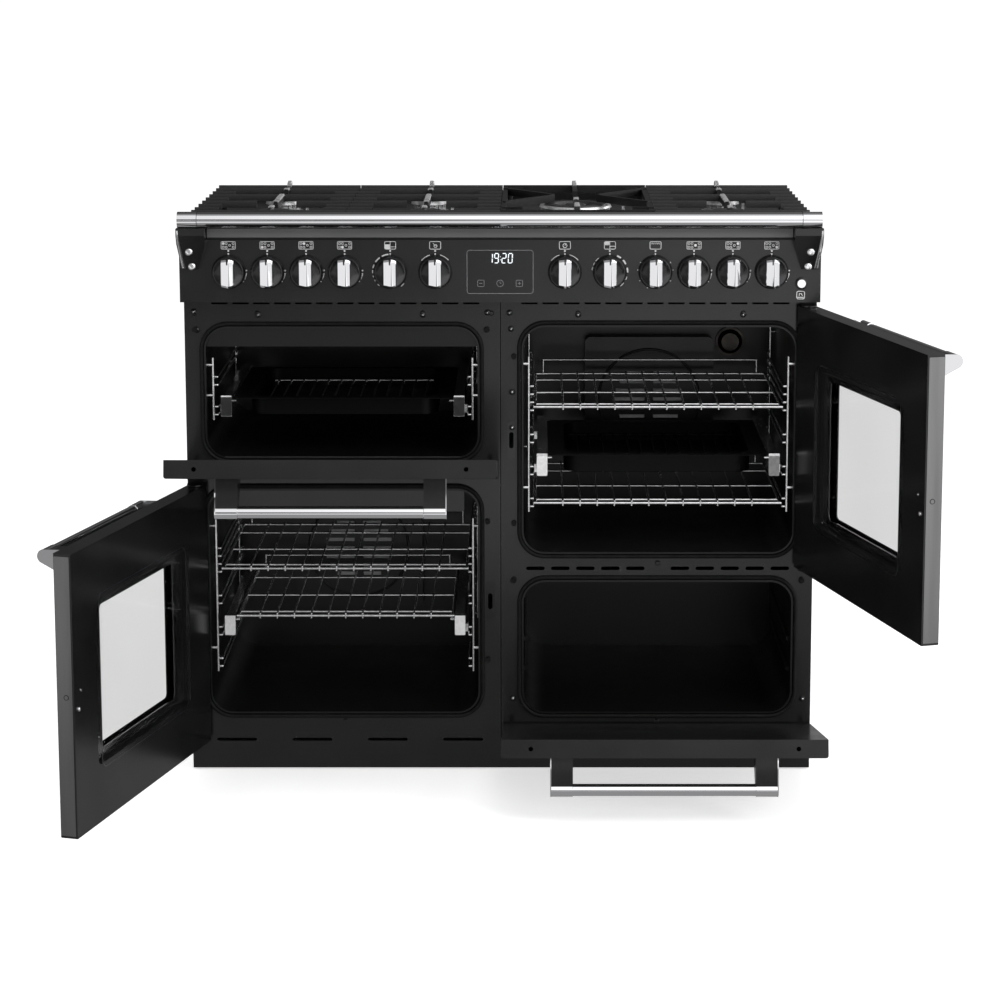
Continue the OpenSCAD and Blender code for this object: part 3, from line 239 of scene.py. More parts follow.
aluminium = new_finish("turned_aluminium", (0.78, 0.78, 0.79), 0.3, 0.85)
vary_colour(aluminium, noise_of(aluminium, 240, 4), (0.68, 0.68, 0.69), (0.86, 0.86, 0.87))
vary_roughness(aluminium, noise_of(aluminium, 300, 4), 0.28, 0.45)
raise_surface(aluminium, noise_of(aluminium, 900, 3), 0.00002)

brass = new_finish("satin_brass", (0.60, 0.44, 0.18), 0.35, 1.0)
vary_colour(brass, noise_of(brass, 90, 4), (0.48, 0.34, 0.13), (0.68, 0.51, 0.24))
vary_roughness(brass, noise_of(brass, 200, 4), 0.26, 0.45)
print("steel, aluminium and brass mixed")

# %% Mix the metals of edges, screws and hob
# satin steel for the door edge strips, also painted highlights on the door recesses and the grill mouth
satin_steel_and_painted_highlight = new_finish("satin_steel_and_painted_highlight", grey(0.22), 0.32, 1.0)
vary_colour(satin_steel_and_painted_highlight, noise_of(satin_steel_and_painted_highlight, 40, 6, (1, 1, 0.05)), grey(0.19), grey(0.25))
vary_roughness(satin_steel_and_painted_highlight, noise_of(satin_steel_and_painted_highlight, 600, 5, (1, 1, 0.03)), 0.26, 0.40)
raise_surface(satin_steel_and_painted_highlight, noise_of(satin_steel_and_painted_highlight, 2500, 2, (1, 1, 0.02)), 0.000002)

# silver for screws and pins, also painted highlights on bracket edges and painted glints on frame screws
silver_screw_and_painted_highlight = new_finish("silver_screw_and_painted_highlight", (0.80, 0.80, 0.81), 0.2, 1.0)
vary_roughness(silver_screw_and_painted_highlight, noise_of(silver_screw_and_painted_highlight, 500, 4), 0.14, 0.3)

# pale steel on the middle ribs: a painted highlight of their flat tops; the rear hooks share it
painted_highlight_steel = new_finish("painted_highlight_steel", grey(0.50), 0.45, 0.6)
vary_colour(painted_highlight_steel, noise_of(painted_highlight_steel, 200, 4), grey(0.40), grey(0.58))
vary_roughness(painted_highlight_steel, noise_of(painted_highlight_steel, 300, 4), 0.35, 0.55)

cast_iron = new_finish("coated_cast_iron", grey(0.006), 0.38, Specular_IOR_Level=0.4)
vary_colour(cast_iron, noise_of(cast_iron, 300, 5), grey(0.002), grey(0.006))
vary_roughness(cast_iron, noise_of(cast_iron, 120, 6), 0.34, 0.55)
raise_surface(cast_iron, noise_of(cast_iron, 900, 6), 0.00012)
print("edge steel, screws and iron mixed")

# %% [markdown]
# ### Rubber, plastic, glass and print
#
# Seals are dull, the clock is a gloss black window, and the door panes are clear glass with a
# faint grey tint, so that the pale room shows through them. Printed signs are a thin white ink
# that stays slightly uneven, and the clock's digits give off a little light of their own.

# %% Mix rubber and plastics
# rubber for the door seals, also used for the painted shadow strip under the hob rim
rubber_and_painted_shadow = new_finish("seal_rubber_and_painted_shadow", grey(0.004), 0.8, Specular_IOR_Level=0.2)
vary_colour(rubber_and_painted_shadow, noise_of(rubber_and_painted_shadow, 80), grey(0.003), grey(0.006))
raise_surface(rubber_and_painted_shadow, noise_of(rubber_and_painted_shadow, 1200, 3), 0.00005)
vary_roughness(rubber_and_painted_shadow, noise_of(rubber_and_painted_shadow, 150, 4), 0.6, 0.8)

gloss_plastic = new_finish("gloss_black_plastic", (0.008, 0.008, 0.009), 0.12)
vary_roughness(gloss_plastic, noise_of(gloss_plastic, 40, 5), 0.08, 0.18)
raise_surface(gloss_plastic, noise_of(gloss_plastic, 300, 2), 0.000004)

knob_plastic = new_finish("knob_black", (0.010, 0.010, 0.011), 0.22)
vary_roughness(knob_plastic, noise_of(knob_plastic, 220, 5), 0.16, 0.3)
raise_surface(knob_plastic, noise_of(knob_plastic, 700, 3), 0.00001)
print("rubber and plastics mixed")

# %% Mix glass and inks
pane_glass = new_finish("door_pane", grey(0.98), 0.0, IOR=1.06, Transmission_Weight=1.0)
vary_colour(pane_glass, noise_of(pane_glass, 4, 2), grey(0.97), grey(0.99))

white_ink = new_finish("white_ink", grey(0.80), 0.45)
vary_colour(white_ink, noise_of(white_ink, 900, 4), grey(0.70), grey(0.86))

grey_ink = new_finish("grey_ink", (0.26, 0.26, 0.27), 0.45)
vary_colour(grey_ink, noise_of(grey_ink, 900, 4), (0.20, 0.20, 0.21), (0.32, 0.32, 0.33))

lit_digit = new_finish("lit_digit", (0.85, 0.88, 0.90), 0.4,
                       Emission_Color=(0.85, 0.93, 1.0, 1), Emission_Strength=0.5)
vary_colour(lit_digit, noise_of(lit_digit, 600, 2), (0.75, 0.80, 0.82), (0.9, 0.92, 0.94))
print("glass and inks mixed")

# %% Mix the painted highlight white and the painted reflection grey
# white for runner caps, the grill caps' tops and the louvre lips: painted highlight for the light they catch
painted_highlight_white = new_finish("painted_highlight_white", grey(0.86), 0.4)
vary_colour(painted_highlight_white, noise_of(painted_highlight_white, 200, 3), grey(0.80), grey(0.90))

# grey copy of the same white: a painted reflection of a darker part of the room on one cap
painted_reflection_grey = new_finish("painted_reflection_grey", grey(0.34), 0.4)
vary_colour(painted_reflection_grey, noise_of(painted_reflection_grey, 200, 3), grey(0.30), grey(0.38))
print("finishes in the file:", len(bpy.data.materials))

# %% [markdown]
# ## Finishes for the CAD parts
#
# A CAD part keeps its shape and only changes its material. Castings and pressed sheet have
# small radii on their edges, and those catch a thin line of light. The drawing has sharp edges,
# so a Bevel modifier rounds them by about a millimetre. A modifier leaves the mesh as it is.

# %% Helper for dressing CAD parts
def dress(material, *nodes, radius=0.0):
    """Puts a finish on CAD parts and, with a radius in metres, rounds their edges."""
    for node in nodes:
        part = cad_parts[node]
        part.data.materials.clear()
        part.data.materials.append(material)
        if radius:
            bevel = part.modifiers.new("edge", "BEVEL")
            bevel.width = radius
            bevel.segments = 2
            bevel.limit_method = "ANGLE"
            bevel.angle_limit = math.radians(50)
            bevel.use_clamp_overlap = True


print("dressing helper ready")

# %% Dress cabinet, doors and ovens
doors = ["left_oven_door", "right_oven_door", "grill_door", "slow_oven_door"]
dress(black_enamel, "side_panels", "plinth", "front_frames")
dress(black_enamel, "control_panel", radius=0.0012)
dress(hob_enamel, "hob_top", radius=0.0012)
dress(black_enamel, *[d + "_shell" for d in doors], *[d + "_panel" for d in doors])
dress(oven_enamel, "grill_cavity", "left_oven_cavity", "right_oven_cavity", "slow_oven_cavity")
dress(oven_enamel, "fan_covers")
dress(pan_enamel, "grill_pan", "roasting_tin")
print("doors dressed:", len(doors))

# %% Dress fittings and hob
dress(zinc, "chassis", "left_fan", "right_fan")
dress(gloss_plastic, "hinge_brackets")
dress(burnt_steel, "heaters_and_motors")
dress(plated_wire, "side_racks", "left_oven_upper_shelf", "left_oven_lower_shelf")
dress(plated_wire, "right_oven_upper_shelf", "right_oven_lower_shelf")
dress(rubber_and_painted_shadow, "door_seals")
dress(gloss_plastic, "clock_display", radius=0.0004)
dress(pane_glass, "left_oven_door_glass", "right_oven_door_glass")
dress(brass, "gas_manifold")
dress(aluminium, "burner_bases")
dress(matt_enamel_and_painted_shade, "burner_caps", radius=0.0008)
dress(cast_iron, *[f"pan_support_{i}" for i in range(1, 5)], radius=0.0012)
dress(chrome, "front_rail", "push_button", radius=0.0006)
dress(black_enamel, "rail_brackets", radius=0.0010)

# %% [markdown]
# ## Tools for new pieces
#
# New pieces are drawn flat and given depth. `prism` raises an outline, `turned` spins a profile
# as a lathe does, and `bar` lays a round bar between two points. All of them add to one bmesh,
# so a piece with many small shapes is still one object. `finish_piece` turns the bmesh into an
# object, lets it ride on a body of the cooker, and names the finish it takes.

# %% Helpers for raised and turned shapes
def prism(bm, outline, low, high, place=Matrix()):
    """Raises a flat outline from one depth to another."""
    rings = [[bm.verts.new(place @ Vector((x, y, z))) for x, y in outline] for z in (low, high)]
    bm.faces.new(list(reversed(rings[0])))
    bm.faces.new(rings[1])
    for i in range(len(outline)):
        j = (i + 1) % len(outline)
        bm.faces.new([rings[0][i], rings[0][j], rings[1][j], rings[1][i]])


def turned(bm, profile, place=Matrix(), steps=48):
    """Spins a profile of (radius, depth) points round the depth axis."""
    rings = []
    for r, z in profile:
        if r < 1e-7:
            rings.append([bm.verts.new(place @ Vector((0, 0, z)))])
            continue
        around = [2 * math.pi * i / steps for i in range(steps)]
        rings.append([bm.verts.new(place @ Vector((r * math.cos(a), r * math.sin(a), z))) for a in around])
    for low, high in zip(rings, rings[1:]):
        for i in range(steps):
            j = (i + 1) % steps
            corners = [low[i % len(low)], low[j % len(low)], high[j % len(high)], high[i % len(high)]]
            bm.faces.new(list(dict.fromkeys(corners)))


print("prism and lathe ready")

# %% Helpers for bars and outlines
def bar(bm, start, end, radius, steps=12):
    """A round bar between two points."""
    along = Vector(end) - Vector(start)
    turn = along.to_track_quat("Z", "Y").to_matrix().to_4x4()
    place = Matrix.Translation(start) @ turn
    turned(bm, [(0, 0), (radius, 0), (radius, along.length), (0, along.length)], place, steps)


def rounded_outline(w, h, r, steps=5):
    """A rectangle round the origin with rounded corners."""
    points = []
    for k, (sx, sy) in enumerate([(1, 1), (-1, 1), (-1, -1), (1, -1)]):
        for i in range(steps + 1):
            a = math.radians(90 * k + 90 * i / steps)
            points.append((sx * (w / 2 - r) + r * math.cos(a), sy * (h / 2 - r) + r * math.sin(a)))
    return points


print("a rounded rectangle has", len(rounded_outline(1, 1, 0.1)), "points")

# %% Helper that finishes a piece
def finish_piece(name, bm, material, body, replaces=(), angle=35):
    """Makes an object of the bmesh; edges sharper than the angle, in degrees, stay crisp."""
    bmesh.ops.recalc_face_normals(bm, faces=bm.faces)
    mesh = bpy.data.meshes.new(name)
    bm.to_mesh(mesh)
    bm.free()
    mesh.shade_smooth()
    mesh.set_sharp_from_angle(angle=math.radians(angle))
    mesh.materials.append(material)
    piece = bpy.data.objects.new(name, mesh)
    bpy.context.collection.objects.link(piece)
    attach(piece, body)
    if replaces:
        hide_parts(*replaces)
    return piece


# %% [markdown]
# ## Frames of the panel and the doors
#
# It is easier to draw a knob or a handle as it lies on its own panel than in the room. Each
# matrix below carries such flat coordinates to the place where the CAD drew the panel. The two
# large doors stand open by 106 degrees on upright hinges, the two small ones hang open by 78.
# The last lines measure how far each door's frame lies from the middle of its CAD shell.

# %% Sizes of panel and doors
panel_y = -0.308
ink_y = panel_y - 0.0001
knob_z = 0.815
pivot_x, pivot_y = 0.4835, -0.303
hinge_inset = 0.014
door_half = 0.24725
door_t = 0.028
large_h, small_h = 0.419, 0.2745
door_height = {"left_oven_door": large_h, "right_oven_door": large_h,
               "grill_door": small_h, "slow_oven_door": small_h}
side_swing, drop_swing = math.radians(106), math.radians(78)
column_x = 0.25025
rack_front = -0.262
print("control panel at y =", panel_y)

# %% Frames of panel and doors
def on_front(x, y, z):
    """X stays X, the drawing's up is the room's up, and depth comes out towards the viewer."""
    return Matrix(((1, 0, 0, x), (0, 0, -1, y), (0, 1, 0, z), (0, 0, 0, 1)))


def side_door(bottom, right):
    """From a door's own frame, origin at the middle of its lower rear edge, to the room."""
    swing = Matrix.Translation((-pivot_x, pivot_y, bottom)) @ Matrix.Rotation(-side_swing, 4, "Z")
    flip = Matrix.Scale(-1 if right else 1, 4, (1, 0, 0))
    return flip @ swing @ Matrix.Translation((door_half - hinge_inset, hinge_inset, 0))


def drop_door(bottom, x):
    hinge = Matrix.Translation((x, pivot_y, bottom + hinge_inset)) @ Matrix.Rotation(drop_swing, 4, "X")
    return hinge @ Matrix.Translation((0, hinge_inset, -hinge_inset))


door_place = {
    "left_oven_door": side_door(0.054, False),
    "right_oven_door": side_door(0.340, True),
    "grill_door": drop_door(0.4845, -column_x),
    "slow_oven_door": drop_door(0.054, column_x),
}
for door, place in door_place.items():
    low, high = (Vector(corner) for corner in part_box(door + "_shell"))
    aim = place @ Vector((0, -door_t / 2, door_height[door] / 2))
    print(door, "frame off by", round(1000 * (aim - (low + high) / 2).length, 1), "mm")

# %% [markdown]
# ## Knobs
#
# A real knob here is a black moulding with a chromed bar across it. The moulding has a low
# skirt, then two crescents that dip towards the bar. The bar's face has two facets that meet in
# a soft ridge, right of the middle. Each facet mirrors a bright card and the ridge between them
# the dark gap, which draws one thin grey line down a white bar. A short black notch at the top
# shows where the knob points. A lathe profile makes the moulding. The bar could be a rounded
# box, but only rows of points give it two facets of their own slope.

# %% Places and profiles of the knobs
knob_x = {
    "hob_knob_1": -0.423, "hob_knob_2": -0.3625, "hob_knob_3": -0.302, "hob_knob_4": -0.242,
    "oven_knob_1": -0.171, "oven_knob_2": -0.101, "oven_knob_3": 0.101, "oven_knob_4": 0.171,
    "oven_knob_5": 0.242, "hob_knob_5": 0.302, "hob_knob_6": 0.3625, "hob_knob_7": 0.423,
}
moulding = [(0.0, 0.0), (0.0262, 0.0), (0.0265, 0.0004), (0.0265, 0.0022), (0.0256, 0.0040),
            (0.0246, 0.0080), (0.0238, 0.0092), (0.0226, 0.0094), (0.0215, 0.0086), (0.0185, 0.0066),
            (0.0120, 0.0056), (0.0, 0.0052)]
knob_seat = 0.0012
grip_half, grip_reach = 0.0100, 0.0226
grip_edge, ridge_x = 0.0007, 0.0030
grip_depth = [0.0045, 0.0226, 0.0234, 0.0266, 0.0268, 0.0266, 0.0254, 0.0247, 0.0045]
notch_outline = [(-0.0009, 0.0140), (0.0009, 0.0140), (0.0011, 0.0226), (-0.0011, 0.0226)]
print("knob", round(2000 * moulding[2][0]), "mm wide, grip", round(2000 * grip_half), "mm wide")

# %% Helper for the grip
def make_grip(bm, place, steps=14):
    """Two flat facets that meet in a soft ridge right of the middle, the ridge widening downwards."""
    rows = []
    for k in range(steps + 1):
        up = -1 + 2 * k / steps
        soft = 0.0012 - 0.0006 * up
        across = [-grip_half, -grip_half, -grip_half + grip_edge, ridge_x - soft, ridge_x, ridge_x + soft,
                  grip_half - grip_edge, grip_half, grip_half]
        row = []
        for x, depth in zip(across, grip_depth):
            reach = math.sqrt(grip_reach ** 2 - x ** 2)
            drop = 0.0020 * max(0, abs(up) - 0.86) / 0.14 if depth > grip_depth[0] else 0
            row.append(bm.verts.new(place @ Vector((x, up * reach, depth - drop))))
        rows.append(row)
    for low, high in zip(rows, rows[1:]):
        for i in range(len(low) - 1):
            bm.faces.new([low[i], low[i + 1], high[i + 1], high[i]])
    bm.faces.new(rows[0])
    bm.faces.new(rows[-1])


print("grip helper ready")

# %% Make the twelve knobs
for name, x in knob_x.items():
    place = on_front(x, panel_y - knob_seat, knob_z)
    bm = bmesh.new()
    turned(bm, moulding, place, 64)
    finish_piece(name + "_moulding", bm, knob_plastic, name, replaces=[name])
    bm = bmesh.new()
    make_grip(bm, place)
    finish_piece(name + "_grip", bm, chrome, name, angle=30)
    bm = bmesh.new()
    prism(bm, notch_outline, 0.0240, 0.02695, place)
    finish_piece(name + "_notch", bm, gloss_plastic, name)
print("knobs made:", len(knob_x))

# %% [markdown]
# ## Printed signs
#
# The panel carries small white signs: a box with the burners of the hob above each gas knob,
# the filled dot being the one that it turns, and a box with a plain symbol above each oven
# knob. Dots and tapering arcs round the knobs show the settings. An image could carry them, but
# it would blur close up. Strips of flat faces stay sharp. They are ink, so they stand only a
# tenth or two of a millimetre in front of the panel, and all of them make one piece.

# %% Helpers for ink
ink_rise = 0.0001


def ink_strip(bm, points, width, place, closed=False):
    """A flat line of ink through the given points."""
    count = len(points)
    widths = width if isinstance(width, (list, tuple)) else [width] * count
    left, right = [], []
    for i in range(count):
        before = Vector(points[(i - 1) % count] if closed or i else points[0])
        after = Vector(points[(i + 1) % count] if closed or i < count - 1 else points[-1])
        along = (after - before).normalized()
        side = Vector((-along.y, along.x)) * widths[i] / 2
        here = Vector(points[i])
        left.append(bm.verts.new(place @ Vector((*(here + side), ink_rise))))
        right.append(bm.verts.new(place @ Vector((*(here - side), ink_rise))))
    for i in range(count if closed else count - 1):
        j = (i + 1) % count
        bm.faces.new([right[i], right[j], left[j], left[i]])


def ink_shape(bm, outline, place):
    """A filled shape of ink."""
    bm.faces.new([bm.verts.new(place @ Vector((x, y, ink_rise))) for x, y in outline])


def circle_points(x, y, r, steps=16):
    turn = [2 * math.pi * i / steps for i in range(steps)]
    return [(x + r * math.cos(a), y + r * math.sin(a)) for a in turn]


def arc_points(r, start, end, steps=8):
    turn = [math.radians(start + (end - start) * i / steps) for i in range(steps + 1)]
    return [(r * math.cos(a), r * math.sin(a)) for a in turn]


print("ink helpers ready")

# %% Draw the signs of the gas knobs
sign_height = 0.0417
burner_dots = [(-0.0078, 0.0028), (-0.0078, -0.0028), (-0.0032, 0.0028), (-0.0032, -0.0028),
               (0.0022, 0.0), (0.0078, 0.0028), (0.0078, -0.0028)]
signs = bmesh.new()


def hob_sign(bm, x, filled):
    place = on_front(x, ink_y, knob_z + sign_height)
    ink_strip(bm, rounded_outline(0.0222, 0.0118, 0.0016, 3), 0.0008, place, closed=True)
    for i, (u, v) in enumerate(burner_dots):
        if i == filled:
            ink_shape(bm, circle_points(u, v, 0.0022), place)
        else:
            ink_strip(bm, circle_points(u, v, 0.0016), 0.0007, place, closed=True)


gas_knobs = [name for name in knob_x if name.startswith("hob")]
for filled, name in enumerate(gas_knobs):
    hob_sign(signs, knob_x[name], filled)
    around = on_front(knob_x[name], ink_y, knob_z)
    ink_shape(signs, circle_points(0.0276, 0.0022, 0.0013), around)
    ink_strip(signs, arc_points(0.0276, -4, -26), [0.0018 - 0.0015 * i / 8 for i in range(9)], around)
    ink_shape(signs, circle_points(0.0228, -0.0152, 0.0007), around)
for x in knob_x.values():
    around = on_front(x, ink_y, knob_z)
    ink_shape(signs, circle_points(0, 0.0330, 0.0015), around)
    ink_shape(signs, circle_points(0, 0.0282, 0.0013), around)
print("gas knobs with signs:", len(gas_knobs))

# %% Draw the signs of the oven knobs
def box_sign(bm, x):
    """Draws the frame of an oven knob's sign and returns its place."""
    place = on_front(x, ink_y, knob_z + sign_height)
    ink_strip(bm, rounded_outline(0.0172, 0.0118, 0.0018, 3), 0.0009, place, closed=True)
    return place


quartered = box_sign(signs, knob_x["oven_knob_1"])
ink_strip(signs, [(0, -0.0055), (0, 0.0055)], 0.0008, quartered)
ink_strip(signs, [(0, -0.0024), (0.0082, -0.0024)], 0.0007, quartered)
ink_shape(signs, [(-0.0082, -0.0055), (0, -0.0055), (0, 0.0016), (-0.0082, 0.0016)], quartered)
gauge = box_sign(signs, knob_x["oven_knob_2"])
ink_strip(signs, circle_points(0.0006, -0.0010, 0.0024), 0.0008, gauge, closed=True)
ink_strip(signs, [(-0.0034, 0.0034), (0.0004, -0.0008), (0.0030, -0.0006)], 0.0008, gauge)
timer = box_sign(signs, knob_x["oven_knob_3"])
ink_strip(signs, circle_points(0, -0.0004, 0.0032), 0.0009, timer, closed=True)
ink_strip(signs, [(0, -0.0004), (0.0016, 0.0034)], 0.0012, timer)
warmer = box_sign(signs, knob_x["oven_knob_4"])
ink_strip(signs, [(0, -0.0055), (0, 0.0055)], 0.0008, warmer)
ink_strip(signs, [(-0.0082, 0.0006), (0, 0.0006)], 0.0008, warmer)
ink_strip(signs, [(0, -0.0014), (0.0082, -0.0014)], 0.0010, warmer)
ink_shape(signs, [(-0.0082, 0.0006), (0, 0.0006), (0, 0.0055), (-0.0082, 0.0055)], warmer)
toaster = box_sign(signs, knob_x["oven_knob_5"])
zigzag = [(-0.0064 + 0.0016 * i, 0.0042 if i % 2 else 0.0018) for i in range(9)]
ink_strip(signs, zigzag, 0.0009, toaster)
print("oven knobs with signs:", len(knob_x) - len(gas_knobs))

# %% Draw the scales of the oven knobs
scale_radius = 0.0278
scales = {
    "oven_knob_1": [(96, 118, 0.0020), (126, 146, 0.0020), (156, 168, 0.0016), (174, 184, 0.0014),
                    (192, 198, 0.0010), (206, 212, 0.0009), (224, 232, 0.0008), (306, 320, 0.0010)],
    "oven_knob_2": [(108, 140, 0.0011), (42, 74, 0.0011)],
    "oven_knob_3": [(108, 140, 0.0011), (42, 74, 0.0011)],
    "oven_knob_4": [(128, 142, 0.0011), (148, 158, 0.0011), (164, 174, 0.0011), (52, 66, 0.0026),
                    (26, 42, 0.0026), (-2, 14, 0.0022), (-16, -26, 0.0011), (-38, -54, 0.0009)],
    "oven_knob_5": [(146, 149, 0.0013), (172, 175, 0.0013), (208, 211, 0.0013), (242, 245, 0.0011),
                    (31, 34, 0.0013), (5, 8, 0.0013), (-29, -32, 0.0013)],
}
for name, arcs in scales.items():
    around = on_front(knob_x[name], ink_y, knob_z)
    for start, end, width in arcs:
        ink_strip(signs, arc_points(scale_radius, start, end), width, around)
print("scale marks:", sum(len(arcs) for arcs in scales.values()))

# %% Draw the sign of the push button
lock = on_front(0.4690, ink_y, 0.7785)
ink_strip(signs, rounded_outline(0.0122, 0.0122, 0.0026, 3), 0.0010, lock, closed=True)
ink_strip(signs, [(-0.0050, -0.0034), (0.0050, -0.0034)], 0.0012, lock)
ink_strip(signs, [(-0.0024, -0.0014), (-0.0020, 0.0024), (0.0012, 0.0024), (0.0030, -0.0014)], 0.0009, lock)
finish_piece("panel_signs", signs, white_ink, "cabinet")
print("signs drawn with", len(bpy.data.meshes["panel_signs"].polygons), "faces")

# %% [markdown]
# ## Clock
#
# The clock is a black glass with a thin printed frame, four digits made of seven bars each and
# three touch signs under them. A font could write the digits, but the bars of a real display
# have gaps at their ends. So each bar is a short strip of ink, shortened at both ends, and the
# digits lean a little to the right as such digits do.

# %% Draw the digits
segments = {"0": "abcdef", "1": "bc", "2": "abged", "9": "abcdfg"}
bars = {"a": ((-1, 2), (1, 2)), "b": ((1, 2), (1, 0)), "c": ((1, 0), (1, -2)), "d": ((1, -2), (-1, -2)),
        "e": ((-1, -2), (-1, 0)), "f": ((-1, 0), (-1, 2)), "g": ((-1, 0), (1, 0))}
clock = on_front(0, ink_y, knob_z)
digit_half, digit_step, digit_lean = 0.0030, 0.0037, 0.0002
digit_y = 0.0215
digits = bmesh.new()


def draw_digit(bm, x, y, value):
    for key in segments[value]:
        ends = []
        for u, v in bars[key]:
            ends.append(Vector((x + u * digit_half + v * digit_lean, y + v * digit_step)))
        gap = (ends[1] - ends[0]).normalized() * 0.0006
        ink_strip(bm, [ends[0] + gap, ends[1] - gap], 0.0016, clock)


for x, value in zip((-0.0150, -0.0055, 0.0062, 0.0160), "1920"):
    draw_digit(digits, x, digit_y, value)
for y in (digit_y - 0.0025, digit_y + 0.0025):
    ink_shape(digits, circle_points(0.0006, y, 0.0007, 8), clock)
finish_piece("clock_digits", digits, lit_digit, "cabinet")
print("digits drawn, each", round(4000 * digit_step), "mm high")

# %% Draw the touch signs
touch_x, touch_y, stroke = 0.0300, -0.0180, 0.0025
touch = bmesh.new()
for x in (-touch_x, touch_x):
    ink_strip(touch, rounded_outline(0.0100, 0.0100, 0.0012, 2), 0.0006,
              clock @ Matrix.Translation((x, touch_y, 0)), closed=True)
    ink_strip(touch, [(x - stroke, touch_y), (x + stroke, touch_y)], 0.0007, clock)
ink_strip(touch, [(touch_x, touch_y - stroke), (touch_x, touch_y + stroke)], 0.0007, clock)
ink_strip(touch, circle_points(0, touch_y, 0.0052, 24), 0.0006, clock, closed=True)
ink_strip(touch, [(0, touch_y + 0.0030), (0, touch_y), (0.0024, touch_y)], 0.0006, clock)
ink_strip(touch, rounded_outline(0.1030, 0.0680, 0.0040, 4), 0.0007, clock, closed=True)
finish_piece("clock_touch_signs", touch, grey_ink, "cabinet")
print("touch signs drawn: 3")

# %% [markdown]
# ## Door handles
#
# Each handle is a chromed tube between two black brackets. A polished sleeve hides the joint,
# and a drop-shaped chrome plate closes the outer side of the bracket. The CAD handle is one
# solid in one finish, so these pieces take its place: same length, same distance from the door.
# The bracket is one outline with depth, because its side view never changes along the tube.

# %% Helpers for the handles
handle_half = 0.1725
tube_radius = 0.00925
sleeve_length = 0.034
bar_away, bar_z = 0.050, -0.0245


def drop_outline(grow, steps=14):
    """Side view of a bracket, in (away from the door, up): from the door round the tube."""
    radius = 0.0106 + grow
    start, end = math.radians(74), math.radians(-62)
    points = [(0.0, -0.012 + grow)]
    for i in range(steps + 1):
        a = start + (end - start) * i / steps
        points.append((bar_away + radius * math.cos(a), bar_z + radius * math.sin(a)))
    points.append((0.0, -0.0600 - grow))
    return points


def beside(door):
    """Puts an outline drawn as (away, up) upright on the door, its depth running along the tube."""
    turn = Matrix(((0, 0, 1, 0), (-1, 0, 0, -door_t), (0, 1, 0, door_height[door]), (0, 0, 0, 1)))
    return door_place[door] @ turn


print("tube axis", round(1000 * bar_away), "mm in front of the door")

# %% Make the handles
tube_profile = [(0, -handle_half), (tube_radius, -handle_half), (tube_radius, handle_half), (0, handle_half)]
sleeve = [(0.0088, 0), (0.0098, 0), (0.01025, 0.0005), (0.01025, sleeve_length - 0.0005),
          (0.0098, sleeve_length), (0.0088, sleeve_length)]
for door in doors:
    tube = bmesh.new()
    along = beside(door) @ Matrix.Translation((bar_away, bar_z, 0))
    turned(tube, tube_profile, along)
    for start in (-handle_half, handle_half - sleeve_length):
        turned(tube, sleeve, along @ Matrix.Translation((0, 0, start)))
    finish_piece(door + "_tube", tube, chrome, door, replaces=[door + "_handle"])
    arms, caps = bmesh.new(), bmesh.new()
    for side in (-1, 1):
        inner, joint, outer = (side * (handle_half + d) for d in (-sleeve_length, -0.0012, 0.0004))
        prism(arms, drop_outline(-0.0022), *sorted((inner, joint)), beside(door))
        prism(caps, drop_outline(0.0), *sorted((joint, outer)), beside(door))
    finish_piece(door + "_brackets", arms, black_enamel, door)
    finish_piece(door + "_bracket_caps", caps, chrome, door)
print("handles made:", len(doors))

# %% [markdown]
# ## Pan supports
#
# Cast bars have a draft, so a bar's section is a low trapezium with chamfered top edges, and
# `beam` draws one between two points. Three of the four supports are rebuilt with it: every
# second bar runs right across, the others are short teeth that reach in from the side rails.
# Pale steel strips on the middle rib are a painted highlight of the rib's flat top, and each rib
# ends in a small hook at the rear. Boxes with a bevel would do for straight bars, but a beam can
# start and end anywhere.

# %% Helper for cast bars
def beam(bm, start, end, width, height):
    """A cast bar between two points at the level of its lower edge."""
    start, end = Vector(start), Vector(end)
    along = (end - start).normalized()
    side = Vector((-along.y, along.x, 0))
    section = [(-0.5, 0), (0.5, 0), (0.44, 0.8), (0.3, 1), (-0.3, 1), (-0.44, 0.8)]
    rings = []
    for base in (start, end):
        spots = [base + side * (u * width) + Vector((0, 0, v * height)) for u, v in section]
        rings.append([bm.verts.new(spot) for spot in spots])
    bm.faces.new(rings[0])
    bm.faces.new(list(reversed(rings[1])))
    for i in range(len(section)):
        j = (i + 1) % len(section)
        bm.faces.new([rings[0][i], rings[1][i], rings[1][j], rings[0][j]])


print("beam helper ready")

